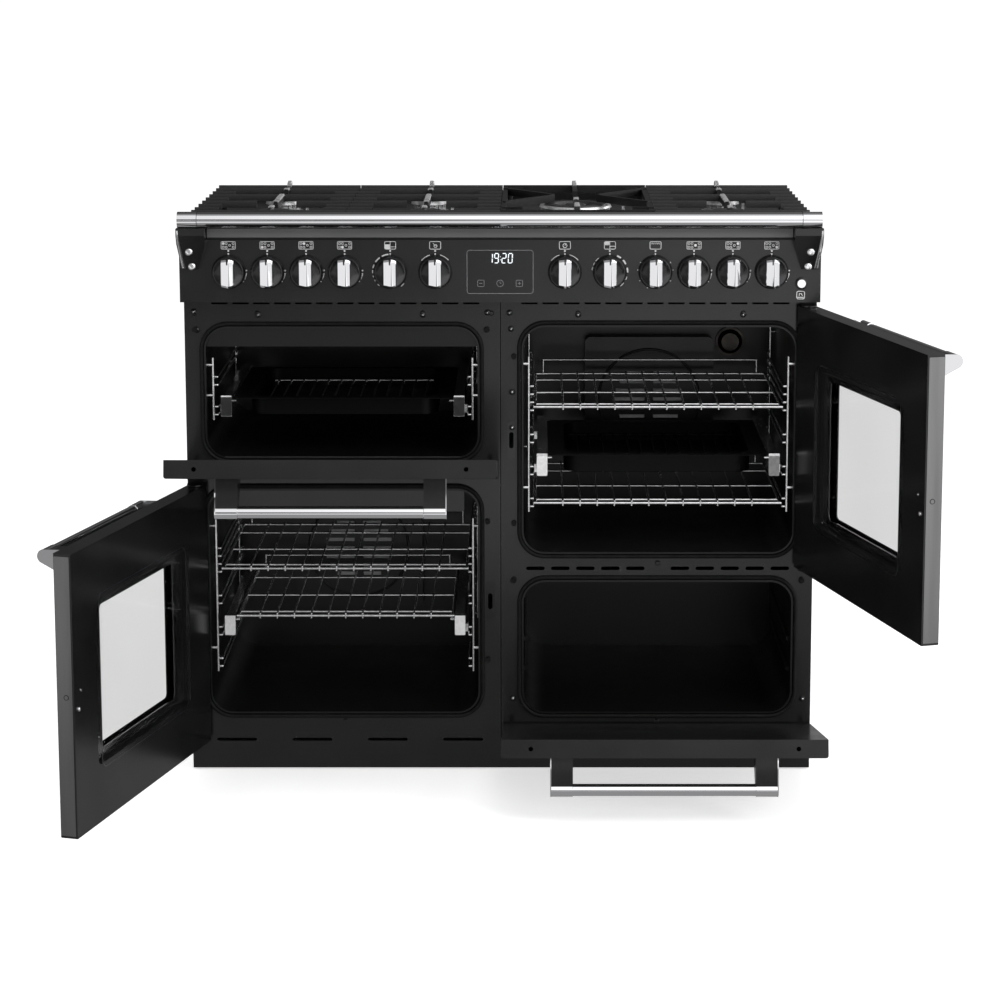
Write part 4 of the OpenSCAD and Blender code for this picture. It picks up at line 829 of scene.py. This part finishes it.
# %% Build three pan supports
support_x = {1: -0.366, 2: -0.122, 3: 0.122, 4: 0.366}
bar_low, bar_high = 0.893, 0.9055
rail_low = 0.884
bar_half, rail_away = 0.1215, 0.1115
support_front, support_rear, middle_y = -0.244, 0.144, -0.050
row_pitch = 0.0495
bar_inner_end = {-3: 0.084, -2: 0.084, -1: 0.032, 0: 0.084, 1: 0.0, 2: 0.084, 3: 0.0}
support_foot = [(0, 0.8702), (0.0045, 0.8702), (0.0062, 0.8860), (0, 0.8860)]
for number in (1, 2, 4):
    body, middle = f"pan_support_{number}", support_x[number]
    bm = bmesh.new()
    for y in (support_front, support_rear):
        beam(bm, (middle - bar_half, y, bar_low), (middle + bar_half, y, bar_low), 0.008, 0.012)
    for side in (-1, 1):
        rail_x = middle + side * rail_away
        rail_ends = ((rail_x, y, rail_low) for y in (support_front - 0.003, support_rear + 0.003))
        beam(bm, *rail_ends, 0.008, 0.0125)
        for y in (support_front + 0.006, support_rear - 0.006):
            turned(bm, support_foot, Matrix.Translation((rail_x, y, 0)), 24)
        for row, inner in bar_inner_end.items():
            y = middle_y + row * row_pitch
            row_ends = ((middle + side * away, y, bar_low) for away in (bar_half, inner))
            beam(bm, *row_ends, 0.0065, 0.0115)
    for start, end in ((support_front, -0.180), (-0.120, 0.008), (0.072, support_rear)):
        beam(bm, (middle, start, bar_low), (middle, end, bar_low), 0.008, 0.012)
    finish_piece(body + "_casting", bm, cast_iron, body, replaces=[body])
print("castings made, rows every", 1000 * row_pitch, "mm")

# %% Add the painted highlight strips and the hooks
strip_z = bar_high - 0.002
# spans of the middle rib that carry the painted highlight
wok_highlight_spans = [(-0.196, -0.140), (-0.090, -0.060)]
plain_highlight_spans = [(-0.206, -0.182), (-0.118, -0.106), (-0.092, -0.008), (0.074, 0.092)]
for number, middle in support_x.items():
    body = f"pan_support_{number}"
    bm = bmesh.new()
    for start, end in wok_highlight_spans if number == 3 else plain_highlight_spans:
        beam(bm, (middle, start, strip_z), (middle, end, strip_z), 0.0092, 0.0026)
    beam(bm, (middle, 0.136, strip_z), (middle, 0.150, strip_z + 0.003), 0.0085, 0.0060)
    finish_piece(body + "_painted_highlight_strips", bm, painted_highlight_steel, body)
print("supports with strips and hooks:", len(support_x))

# %% [markdown]
# ## Burners
#
# A gas burner is a cup of cast aluminium with slots for the flames and a loose enamelled lid.
# Front burners are wide, rear ones small, and the wok burner has two rings. All of them are
# round, so a lathe profile each is enough. The cups stand on the CAD bases, and the lids take
# the place of the flat CAD caps.

# %% Profiles of cups and lids
front_cup = [(0.029, 0.8860), (0.044, 0.8872), (0.0455, 0.8890), (0.0440, 0.8905), (0.029, 0.8915),
             (0, 0.8915)]
front_lid = [(0, 0.8915), (0.0260, 0.8915), (0.0265, 0.8925), (0.0255, 0.8950), (0, 0.8958)]
rear_cup = [(0.0305, 0.8840), (0.0312, 0.8850), (0.0300, 0.8925), (0, 0.8925)]
rear_lid = [(0, 0.8925), (0.0255, 0.8925), (0.0260, 0.8935), (0.0250, 0.8958), (0, 0.8965)]
wok_cup = [(0.0560, 0.8835), (0.0600, 0.8845), (0.0585, 0.8880), (0.0530, 0.8885), (0.0520, 0.8840)]
wok_ring = [(0.0340, 0.8850), (0.0350, 0.8832), (0.0520, 0.8832), (0.0525, 0.8860), (0.0500, 0.8900),
            (0.0360, 0.8902), (0.0340, 0.8850)]
front_y, rear_y, wok_y = -0.150, 0.040, -0.005
wok_button = [(0, 0.8832), (0.0165, 0.8832), (0.0175, 0.8860), (0.0160, 0.8895), (0, 0.8902)]
print("lids", [round(2000 * max(r for r, z in lid)) for lid in (front_lid, rear_lid, wok_ring)], "mm wide")

# %% Set the burner cups and lids
cups, lids = bmesh.new(), bmesh.new()
for number in (1, 2, 4):
    front = Matrix.Translation((support_x[number], front_y, 0))
    rear = Matrix.Translation((support_x[number], rear_y, 0))
    turned(cups, front_cup, front, 64)
    turned(lids, front_lid, front, 64)
    turned(cups, rear_cup, rear, 64)
    turned(lids, rear_lid, rear, 64)
wok = Matrix.Translation((support_x[3], wok_y, 0))
turned(cups, wok_cup, wok, 96)
turned(lids, wok_ring, wok, 96)
turned(lids, wok_button, wok, 64)
finish_piece("burner_cups", cups, aluminium, "cabinet")
finish_piece("burner_lids", lids, matt_enamel_and_painted_shade, "cabinet", replaces=["burner_caps"])
print("burners set: 7")

# %% [markdown]
# ## Hob front and rail
#
# The hob's front edge leans back a little, so it mirrors the bright room; its enamel is also
# painted paler than the upright panel below it, as a painted highlight. A dark rubber strip under
# the rim is painted shadow: it stands for the line of shade under the rim's overhang. The chrome
# rail has a collar at each end, and a fine dark ring marks where the collar slides onto the tube.
# All three have one section along their length, so an outline with depth or a lathe makes them.

# %% Lean the hob's front edge and paint its shadow line
rim_half, rim_foot = 0.4555, 0.8688
rim_section = [(-0.3095, 0.8828), (-0.3128, 0.8700), (-0.3118, rim_foot), (-0.3092, rim_foot),
               (-0.3092, 0.8828)]
from_section = Matrix(((0, 0, 1, 0), (1, 0, 0, 0), (0, 1, 0, 0), (0, 0, 0, 1)))
rim = bmesh.new()
prism(rim, rim_section, -rim_half, rim_half, from_section)
finish_piece("hob_front_rim", rim, rim_enamel_painted_light, "cabinet")
# a dark strip under the rim: painted shadow for the line of shade under the rim's overhang
rim_shadow_foot = rim_foot - 0.0032
rim_shadow_strip = bmesh.new()
prism(rim_shadow_strip, [(-rim_half, rim_shadow_foot), (rim_half, rim_shadow_foot), (rim_half, rim_foot), (-rim_half, rim_foot)],
      0, 0.0016, on_front(0, panel_y + 0.0002, 0))
finish_piece("hob_rim_painted_shadow", rim_shadow_strip, rubber_and_painted_shadow, "cabinet")
print("rim", round(2000 * rim_half), "mm long")

# %% Ring the rail's collars
rail_y, rail_z, collar_x = -0.340, 0.900, 0.4668
joints = bmesh.new()
for side in (-1, 1):
    place = Matrix.Translation((side * collar_x, rail_y, rail_z)) @ Matrix.Rotation(math.radians(90), 4, "Y")
    turned(joints, [(0.0116, -0.0004), (0.0130, -0.0004), (0.0130, 0.0004), (0.0116, 0.0004)], place)
finish_piece("rail_joint_rings", joints, gloss_plastic, "cabinet")
print("collars end", round(1000 * collar_x), "mm from the middle")

# %% [markdown]
# ## Edges of the large doors
#
# The free edge of each large door is closed by a satin steel strip with a round plug halfway
# up. It faces the viewer when the door stands open, and its brushed face picks up the bright
# card on its own side, so the two strips differ in tone. On the inside, a flat satin steel line
# round the recess of the window is a painted highlight of the recess's pressed edge, and two pins
# near the free edge guide the latch. The strips are outlines with a little depth, laid on the
# door by the frames of two helpers.

# %% Helpers for the door edges
def on_edge(door):
    """Outlines drawn as (towards the inside, up) lie on the free edge, their depth facing out of it."""
    middle = door_height[door] / 2
    turn = Matrix(((0, 0, 1, door_half), (1, 0, 0, -door_t / 2), (0, 1, 0, middle), (0, 0, 0, 1)))
    return door_place[door] @ turn


def on_inside(door):
    """Outlines drawn as (towards the free edge, up) lie on the door's inner face."""
    turn = Matrix(((1, 0, 0, 0), (0, 0, 1, 0), (0, 1, 0, door_height[door] / 2), (0, 0, 0, 1)))
    return door_place[door] @ turn


print("free edges", round(1000 * large_h), "mm high")

# %% Close the door edges and set the pins
large_doors = ("left_oven_door", "right_oven_door")
plug = [(0, 0), (0.0029, 0), (0.0029, 0.0010), (0, 0.0010)]
plug_ring = [(0.0030, 0.0004), (0.0031, 0.0011), (0.0038, 0.0012), (0.0041, 0.0004)]
large_pin = [(0, 0), (0.0034, 0), (0.0032, 0.0014), (0.0020, 0.0024), (0, 0.0026)]
small_pin = [(0, 0), (0.0020, 0), (0.0018, 0.0010), (0, 0.0014)]
for door in large_doors:
    place = on_edge(door)
    plug_place = place @ Matrix.Translation((0.0022, 0, 0))
    strip = bmesh.new()
    prism(strip, rounded_outline(0.0232, large_h - 0.007, 0.0012, 3), -0.0002, 0.0006, place)
    turned(strip, plug, plug_place, 32)
    finish_piece(door + "_edge_strip", strip, satin_steel_and_painted_highlight, door)
    ring = bmesh.new()
    turned(ring, plug_ring, plug_place, 32)
    finish_piece(door + "_edge_plug_ring", ring, gloss_plastic, door)
    inner_face = on_inside(door)
    # a flat satin steel line round the window recess: a painted highlight of its pressed edge
    recess_highlight = bmesh.new()
    ink_strip(recess_highlight, rounded_outline(0.317, 0.262, 0.014, 6), 0.0014, inner_face, closed=True)
    finish_piece(door + "_recess_highlight", recess_highlight, satin_steel_and_painted_highlight, door)
    pins = bmesh.new()
    turned(pins, large_pin, inner_face @ Matrix.Translation((0.2330, -0.020, 0)), 24)
    turned(pins, small_pin, inner_face @ Matrix.Translation((0.2240, 0.006, 0)), 24)
    finish_piece(door + "_latch_pins", pins, silver_screw_and_painted_highlight, door)
print("door edges closed:", len(large_doors))

# %% [markdown]
# ## Screws and buttons
#
# Two silver screws hold each rail bracket, and the push button sits in a black ring. A screw
# head is a lathe shape with a sunk middle. Silver bands along the brackets' outer edges are
# painted highlights of their rounded edges. Small dark screws round the oven mouths sit in dark
# rings, and a silver dome on each is a painted glint. None of them may float or sink, so a ray is
# cast from the front onto the CAD part, and the screw is set where it lands. A typed depth would
# fail on a slanted bracket.

# %% Find the surface under a screw
surfaces = {}


def surface_y(node, x, z):
    """Depth of the first surface of a CAD part that a ray from the front meets."""
    if node not in surfaces:
        shape = bmesh.new()
        shape.from_mesh(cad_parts[node].data)
        surfaces[node] = BVHTree.FromBMesh(shape)
        shape.free()
    hit = surfaces[node].ray_cast(Vector((x, -2.0, z)), Vector((0, 1, 0)))[0]
    return hit.y if hit else None


bracket_screws = ((0.4815, 0.8494), (0.4790, 0.8249))
for x, z in bracket_screws:
    print("bracket face at", round(surface_y("rail_brackets", x, z), 4))

# %% Make the screws of the rail brackets
screw_head = [(0, 0), (0.0060, 0), (0.0062, 0.0008), (0.0058, 0.0022), (0.0046, 0.0032), (0.0028, 0.0034),
              (0.0026, 0.0020), (0, 0.0020)]
rail_screws = bmesh.new()
for side in (-1, 1):
    for x, z in bracket_screws:
        face = min(surface_y("rail_brackets", side * (x + dx), z) for dx in (-0.004, 0, 0.004))
        turned(rail_screws, screw_head, on_front(side * x, face + 0.0004, z), 32)
finish_piece("rail_bracket_screws", rail_screws, silver_screw_and_painted_highlight, "cabinet")
print("bracket screws set:", 2 * len(bracket_screws))

# %% Paint highlights along the rail brackets' edges
band_steps = 13
# silver bands along the brackets' outer edges: painted highlights of their rounded edges
highlight_bands = bmesh.new()
for side in (-1, 1):
    rows = []
    for k in range(band_steps + 1):
        down = k / band_steps
        z = 0.8840 - 0.0624 * down
        out = 0.4992 - 0.0046 * down ** 1.5
        width = 0.0024 + 0.0034 * down
        spots = [(out, 0.0), (out - width / 2, 0.0008), (out - width, 0.0)]
        row = []
        for x, rise in spots:
            face = surface_y("rail_brackets", side * min(x, 0.4985), z)
            row.append(None if face is None else highlight_bands.verts.new((side * x, face - 0.0003 - rise, z)))
        rows.append(row)
    for high_row, low_row in zip(rows, rows[1:]):
        for i in range(len(high_row) - 1):
            quad = [high_row[i], high_row[i + 1], low_row[i + 1], low_row[i]]
            if None not in quad:
                highlight_bands.faces.new(quad)
finish_piece("rail_bracket_edge_highlights", highlight_bands, silver_screw_and_painted_highlight, "cabinet")
print("bracket edges made of", len(bpy.data.meshes["rail_bracket_edge_highlights"].polygons), "faces")

# %% Make the screws of the front frames
frame_screws = [(-0.4822, 0.7483), (-0.3808, 0.7435), (-0.1221, 0.7435), (-0.0203, 0.7470), (0.0144, 0.7467),
                (0.1224, 0.7438), (0.3820, 0.7438), (0.0189, 0.1200), (0.4847, 0.1191), (-0.0217, 0.7197),
                (-0.4780, 0.7194), (0.0168, 0.7210), (0.0200, 0.3142), (0.4804, 0.3142), (0.0183, 0.6200),
                (0.0183, 0.5630)]
frame_ring = [(0.0016, 0.0030), (0.0022, 0.0036), (0.0036, 0.0030), (0.0046, 0.0010), (0.0050, 0)]
frame_glint = [(0, 0), (0.0016, 0), (0.0015, 0.0036), (0.0008, 0.0042), (0, 0.0042)]
washers, glints = bmesh.new(), bmesh.new()
for x, z in frame_screws:
    place = on_front(x, surface_y("front_frames", x, z), z)
    turned(washers, frame_ring, place, 24)
    turned(glints, frame_glint, place, 16)
finish_piece("frame_screw_rings", washers, gloss_plastic, "cabinet")
# the silver domes on the dark screws are painted glints
finish_piece("frame_screw_painted_glints", glints, silver_screw_and_painted_highlight, "cabinet")
print("frame screws set:", len(frame_screws))

# %% Ring the push button
button_ring = [(0.0072, 0), (0.0095, 0), (0.0098, 0.0006), (0.0092, 0.0022), (0.0080, 0.0026),
               (0.0072, 0.0014)]
ring = bmesh.new()
turned(ring, button_ring, on_front(0.4700, panel_y, 0.7970), 40)
finish_piece("button_ring", ring, gloss_plastic, "cabinet")
print("button ring", round(2000 * button_ring[2][0], 1), "mm wide")

# %% [markdown]
# ## Inside the ovens
#
# The racks' runners end in smooth caps whose tones are painted light: three are painted white
# and one grey for the reflections they catch, and the two in the grill are painted dark for its
# shade, with a painted highlight along the top. The trivet's wires are bright, unlike the
# enamelled pan they share a CAD part with, so bright wires are laid over them. Behind each
# louvre of the fan covers a small lip leans inwards; it is painted white, a painted highlight of
# the light it catches. Bent sheet would need thickness, but from the front one tilted face shows
# the same. A deflector plate hangs behind the left oven's mouth, and a thin steel strip on the
# grill mouth's lower lip is a painted highlight of the enamel fold.

# %% Cap the runners
near_x, far_x, cap_top = 0.06575, 0.43475, 0.0155
# white and grey caps are painted reflections; the grill's dark caps are painted shade with a painted
# highlight on top
highlight_caps, grey_reflection_caps, shade_caps = bmesh.new(), bmesh.new(), bmesh.new()
runner_caps = [(-far_x, 0.2380, highlight_caps), (-near_x, 0.2380, highlight_caps), (near_x, 0.4990, highlight_caps),
               (far_x, 0.4990, grey_reflection_caps), (-far_x, 0.5960, shade_caps), (-near_x, 0.5960, shade_caps)]
for x, z, bm in runner_caps:
    face = surface_y("side_racks", x, z)
    face = rack_front if face is None or face > -0.2 else face
    prism(bm, rounded_outline(0.0166, 0.0320, 0.0020, 4), -0.0002, 0.0010, on_front(x, face, z))
    if bm is shade_caps:
        top_outline = rounded_outline(0.0166, 0.0022, 0.0008, 3)
        prism(highlight_caps, top_outline, 0.0, 0.0016, on_front(x, face, z + cap_top))
finish_piece("runner_caps_painted_highlight", highlight_caps, painted_highlight_white, "cabinet")
finish_piece("runner_caps_painted_reflection", grey_reflection_caps, painted_reflection_grey, "cabinet")
finish_piece("runner_caps_painted_shade", shade_caps, matt_enamel_and_painted_shade, "cabinet")
print("runner caps:", len(runner_caps))

# %% Lay the trivet
low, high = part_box("grill_pan")
middle = (low[0] + high[0]) / 2
trivet_front, trivet_rear = low[1] + 0.0252, high[1] - 0.0252
trivet_pitch, trivet_half = 0.021, 0.134
wire_z, cross_z = low[2] + 0.0120, low[2] + 0.0102
trivet = bmesh.new()
for i in range(-6, 7):
    x = middle + i * trivet_pitch
    bar(trivet, (x, trivet_front, wire_z), (x, trivet_rear, wire_z), 0.0017, 10)
for y in (trivet_front, trivet_rear):
    bar(trivet, (middle - trivet_half, y, cross_z), (middle + trivet_half, y, cross_z), 0.0027)
finish_piece("grill_pan_trivet", trivet, plated_wire, "grill_pan")
print("trivet", round(1000 * (trivet_rear - trivet_front)), "mm deep")

# %% Press the louvre lips and paint their highlights
louvre_circle, louvre_pitch, louvre_inset = 0.060, 0.015, 0.008
# each lip is a tilted face painted white: a painted highlight of the light it catches
lip_highlights = bmesh.new()
for x, z in ((-column_x, 0.280), (column_x, 0.5425)):
    for row in range(-3, 4):
        reach = math.sqrt(louvre_circle ** 2 - (row * louvre_pitch) ** 2) - 0.002
        lower = (0.0895, z + row * louvre_pitch - 0.0030)
        upper = (0.0945, z + row * louvre_pitch + 0.0022)
        for side in (-1, 1):
            left, right = sorted((x + side * louvre_inset, x + side * reach))
            corners = ((left, *lower), (right, *lower), (right, *upper), (left, *upper))
            lip_highlights.faces.new([lip_highlights.verts.new(corner) for corner in corners])
finish_piece("fan_cover_lip_highlights", lip_highlights, painted_highlight_white, "cabinet")
print("louvre lips:", len(bpy.data.meshes["fan_cover_lip_highlights"].polygons))

# %% Hang the deflector and paint a highlight on the grill's mouth
deflector = bmesh.new()
prism(deflector, rounded_outline(0.384, 0.034, 0.002, 2), 0, 0.0012, on_front(-column_x, -0.2740, 0.4430))
finish_piece("left_oven_deflector", deflector, black_enamel, "cabinet")
mouth_z = 0.5160
mouth_y = surface_y("grill_cavity", -column_x, mouth_z) or -0.2832
# a thin steel strip on the lower lip: a painted highlight of the enamel fold
mouth_highlight = bmesh.new()
prism(mouth_highlight, rounded_outline(0.372, 0.0010, 0.0004, 2), 0, 0.0006, on_front(-column_x, mouth_y, mouth_z))
finish_piece("grill_mouth_highlight", mouth_highlight, satin_steel_and_painted_highlight, "cabinet")
print("grill mouth edge at y =", round(mouth_y, 4))

# %% [markdown]
# ## Floor and room
#
# The cooker stands in a white studio. Floor and room are plain white for the camera and for
# glass. Chrome and gloss enamel need more care, because all they show is the room: a real
# studio has bright cards on both sides and a dark gap in front, where the camera stands. That
# gap draws the thin dark line along every chromed tube. Cards could be built as planes, but they
# would stand in other views. So the pattern lies in the materials of floor and room, and only
# rays that leave a glossy surface see it. All other rays see an even, soft white, which fills
# the shadows.

# %% Helpers for the studio
def step_node(tree, value, low, high, below, above):
    """Goes smoothly from one value to another between two limits."""
    node = tree.nodes.new("ShaderNodeMapRange")
    node.interpolation_type = "SMOOTHSTEP"
    for name, number in (("From Min", low), ("From Max", high), ("To Min", below), ("To Max", above)):
        node.inputs[name].default_value = number
    tree.links.new(value, node.inputs["Value"])
    return node.outputs["Result"]


def math_node(tree, operation, first, second=None):
    node = tree.nodes.new("ShaderNodeMath")
    node.operation = operation
    for socket, value in zip(node.inputs, (first, second)):
        if isinstance(value, (int, float)):
            socket.default_value = value
        elif value is not None:
            tree.links.new(value, socket)
    return node.outputs[0]


def ray_share(tree, *kinds):
    """1 for rays of the given kinds, 0 for others."""
    path = tree.nodes.new("ShaderNodeLightPath")
    share = path.outputs[kinds[0]]
    for kind in kinds[1:]:
        share = math_node(tree, "MAXIMUM", share, path.outputs[kind])
    return share


print("studio helpers ready")

# %% Lay the floor
floor_mesh = bpy.data.meshes.new("floor")
floor_mesh.from_pydata([(-60, -60, 0), (60, -60, 0), (60, 60, 0), (-60, 60, 0)], [], [(0, 1, 2, 3)])
floor = bpy.data.objects.new("floor", floor_mesh)
bpy.context.collection.objects.link(floor)
floor_white = bpy.data.materials.new("floor_white")
floor_white.use_nodes = True
floor_mesh.materials.append(floor_white)
print("floor laid")

# %% [markdown]
# ### What chrome sees on the floor
#
# Far in front lies a dark field that fades to the right and gives the control panel its slope
# from dark to light. Close to the front the floor is dim, as in the cooker's own shade, and a
# flag on the left darkens the edge of the left door. A picture of a real studio could be wrapped
# round the scene instead, but a few soft steps are easier to tune.

# %% Draw the floor's reflections
tree = floor_white.node_tree
tree.nodes.clear()
spot = tree.nodes.new("ShaderNodeSeparateXYZ")
tree.links.new(tree.nodes.new("ShaderNodeTexCoord").outputs["Object"], spot.inputs[0])
aside = math_node(tree, "ABSOLUTE", spot.outputs["X"])
field = math_node(tree, "MULTIPLY", step_node(tree, aside, 1.5, 1.8, 1, 0),
                  step_node(tree, spot.outputs["Y"], -3.4, -3.0, 1, 0))
near = math_node(tree, "MULTIPLY", step_node(tree, aside, 1.2, 2.0, 0.65, 0),
                 step_node(tree, spot.outputs["Y"], -1.9, -1.4, 0, 1))
deep = step_node(tree, spot.outputs["X"], -1.6, 1.6, 0.94, -0.50)
mirrored = math_node(tree, "SUBTRACT", 0.95, math_node(tree, "MULTIPLY", field, deep))
mirrored = math_node(tree, "SUBTRACT", mirrored, near)
left_flag = math_node(tree, "MULTIPLY",
                      step_node(tree, spot.outputs["X"], -1.8, -1.4, 0.65, 0),
                      step_node(tree, spot.outputs["Y"], -2.9, -2.5, 0, 1))
mirrored = math_node(tree, "SUBTRACT", mirrored, left_flag)
mirrored = math_node(tree, "MULTIPLY", mirrored, ray_share(tree, "Is Glossy Ray"))
print("floor pattern drawn with", len(tree.nodes), "shader nodes")

# %% Light the floor
seen = math_node(tree, "MAXIMUM",
                 math_node(tree, "MULTIPLY", ray_share(tree, "Is Camera Ray"), 0.62),
                 math_node(tree, "MULTIPLY", ray_share(tree, "Is Transmission Ray"), 0.74))
glow = tree.nodes.new("ShaderNodeEmission")
tree.links.new(math_node(tree, "MAXIMUM", mirrored, seen), glow.inputs["Strength"])
shade = tree.nodes.new("ShaderNodeBsdfDiffuse")
shade.inputs["Color"].default_value = (0.85, 0.85, 0.85, 1)
still = tree.nodes.new("ShaderNodeMixShader")
tree.links.new(ray_share(tree, "Is Glossy Ray"), still.inputs["Fac"])
tree.links.new(shade.outputs[0], still.inputs[1])
both = tree.nodes.new("ShaderNodeAddShader")
tree.links.new(still.outputs[0], both.inputs[0])
tree.links.new(glow.outputs[0], both.inputs[1])
tree.links.new(both.outputs[0], tree.nodes.new("ShaderNodeOutputMaterial").inputs["Surface"])
print("floor lit")

# %% [markdown]
# ### What chrome sees in the room
#
# The room works alike. A dark field straight ahead, a dim part behind the cooker and a grey
# ceiling are taken away from white. What is left grows brighter from left to right, as in a
# studio with its main card on the right. An even white room would be simpler, and the chrome
# would look like paper.

# %% Draw the room's reflections
world = bpy.data.worlds.new("studio")
bpy.context.scene.world = world
world.use_nodes = True
tree = world.node_tree
tree.nodes.clear()
split = tree.nodes.new("ShaderNodeSeparateXYZ")
tree.links.new(tree.nodes.new("ShaderNodeTexCoord").outputs["Generated"], split.inputs[0])
aside = math_node(tree, "ABSOLUTE", split.outputs["X"])
field = math_node(tree, "MULTIPLY", step_node(tree, aside, 0.18, 0.30, 1, 0),
                  step_node(tree, split.outputs["Z"], 0.22, 0.29, 1, 0))
straight_ahead = step_node(tree, split.outputs["Y"], -0.2, 0.2, 1, 0)
field = math_node(tree, "MULTIPLY", field, straight_ahead)
behind = math_node(tree, "MULTIPLY", step_node(tree, aside, 0.35, 0.55, 1, 0),
                   step_node(tree, split.outputs["Y"], 0.0, 0.25, 0, 1))
ceiling = step_node(tree, split.outputs["Z"], 0.93, 0.965, 0, 0.7)
deep = step_node(tree, split.outputs["X"], -0.15, 0.2, 0.97, 0.60)
hidden = math_node(tree, "MAXIMUM", math_node(tree, "MULTIPLY", field, deep), ceiling)
hidden = math_node(tree, "MAXIMUM", hidden, math_node(tree, "MULTIPLY", behind, 0.93))
mirrored = math_node(tree, "SUBTRACT", 1.0, hidden)
side_gain = step_node(tree, split.outputs["X"], -0.45, 0.45, 0.30, 2.4)
mirrored = math_node(tree, "MULTIPLY", mirrored, side_gain)
print("room pattern drawn with", len(tree.nodes), "shader nodes")

# %% Light the room
def background(strength):
    node = tree.nodes.new("ShaderNodeBackground")
    node.inputs["Color"].default_value = (1, 1, 1, 1)
    if isinstance(strength, float):
        node.inputs["Strength"].default_value = strength
    else:
        tree.links.new(strength, node.inputs["Strength"])
    return node.outputs[0]


def choose(share, first, second):
    node = tree.nodes.new("ShaderNodeMixShader")
    tree.links.new(share, node.inputs["Fac"])
    tree.links.new(first, node.inputs[1])
    tree.links.new(second, node.inputs[2])
    return node.outputs[0]


room = choose(ray_share(tree, "Is Glossy Ray"), background(0.5), background(mirrored))
room = choose(ray_share(tree, "Is Camera Ray", "Is Transmission Ray"), room, background(1.0))
tree.links.new(room, tree.nodes.new("ShaderNodeOutputWorld").inputs["Surface"])
print("room lit")

# %% [markdown]
# ## Lamps
#
# Three large soft lamps light the cooker. The main one is a tall card close by on the right,
# which brightens the front from left to right and puts the pale edge on the right door. A weaker
# card on the left and a broad one overhead lift the shadows. A single sun would be simpler, but
# its shadows are hard. All three are hidden from glossy rays, because chrome would show them as
# white squares.

# %% Place the lamps
def soft_lamp(name, location, aim, size, watts):
    data = bpy.data.lights.new(name, "AREA")
    data.shape = "RECTANGLE"
    data.size, data.size_y = size
    data.energy = watts
    lamp = bpy.data.objects.new(name, data)
    lamp.visible_glossy = False
    lamp.location = location
    lamp.rotation_euler = (Vector(aim) - Vector(location)).to_track_quat("-Z", "Y").to_euler()
    bpy.context.collection.objects.link(lamp)


soft_lamp("top_lamp", (0, -0.9, 3.2), (0, -0.2, 0.5), (3.0, 2.0), 45)
soft_lamp("left_lamp", (-2.8, -2.2, 1.9), (0, 0, 0.5), (1.2, 2.0), 12)
soft_lamp("right_lamp", (2.6, -2.2, 1.6), (0.3, -0.3, 0.5), (1.2, 2.2), 56)
bpy.context.scene.view_settings.view_transform = "Standard"
print("lamps placed:", len(bpy.data.lights))
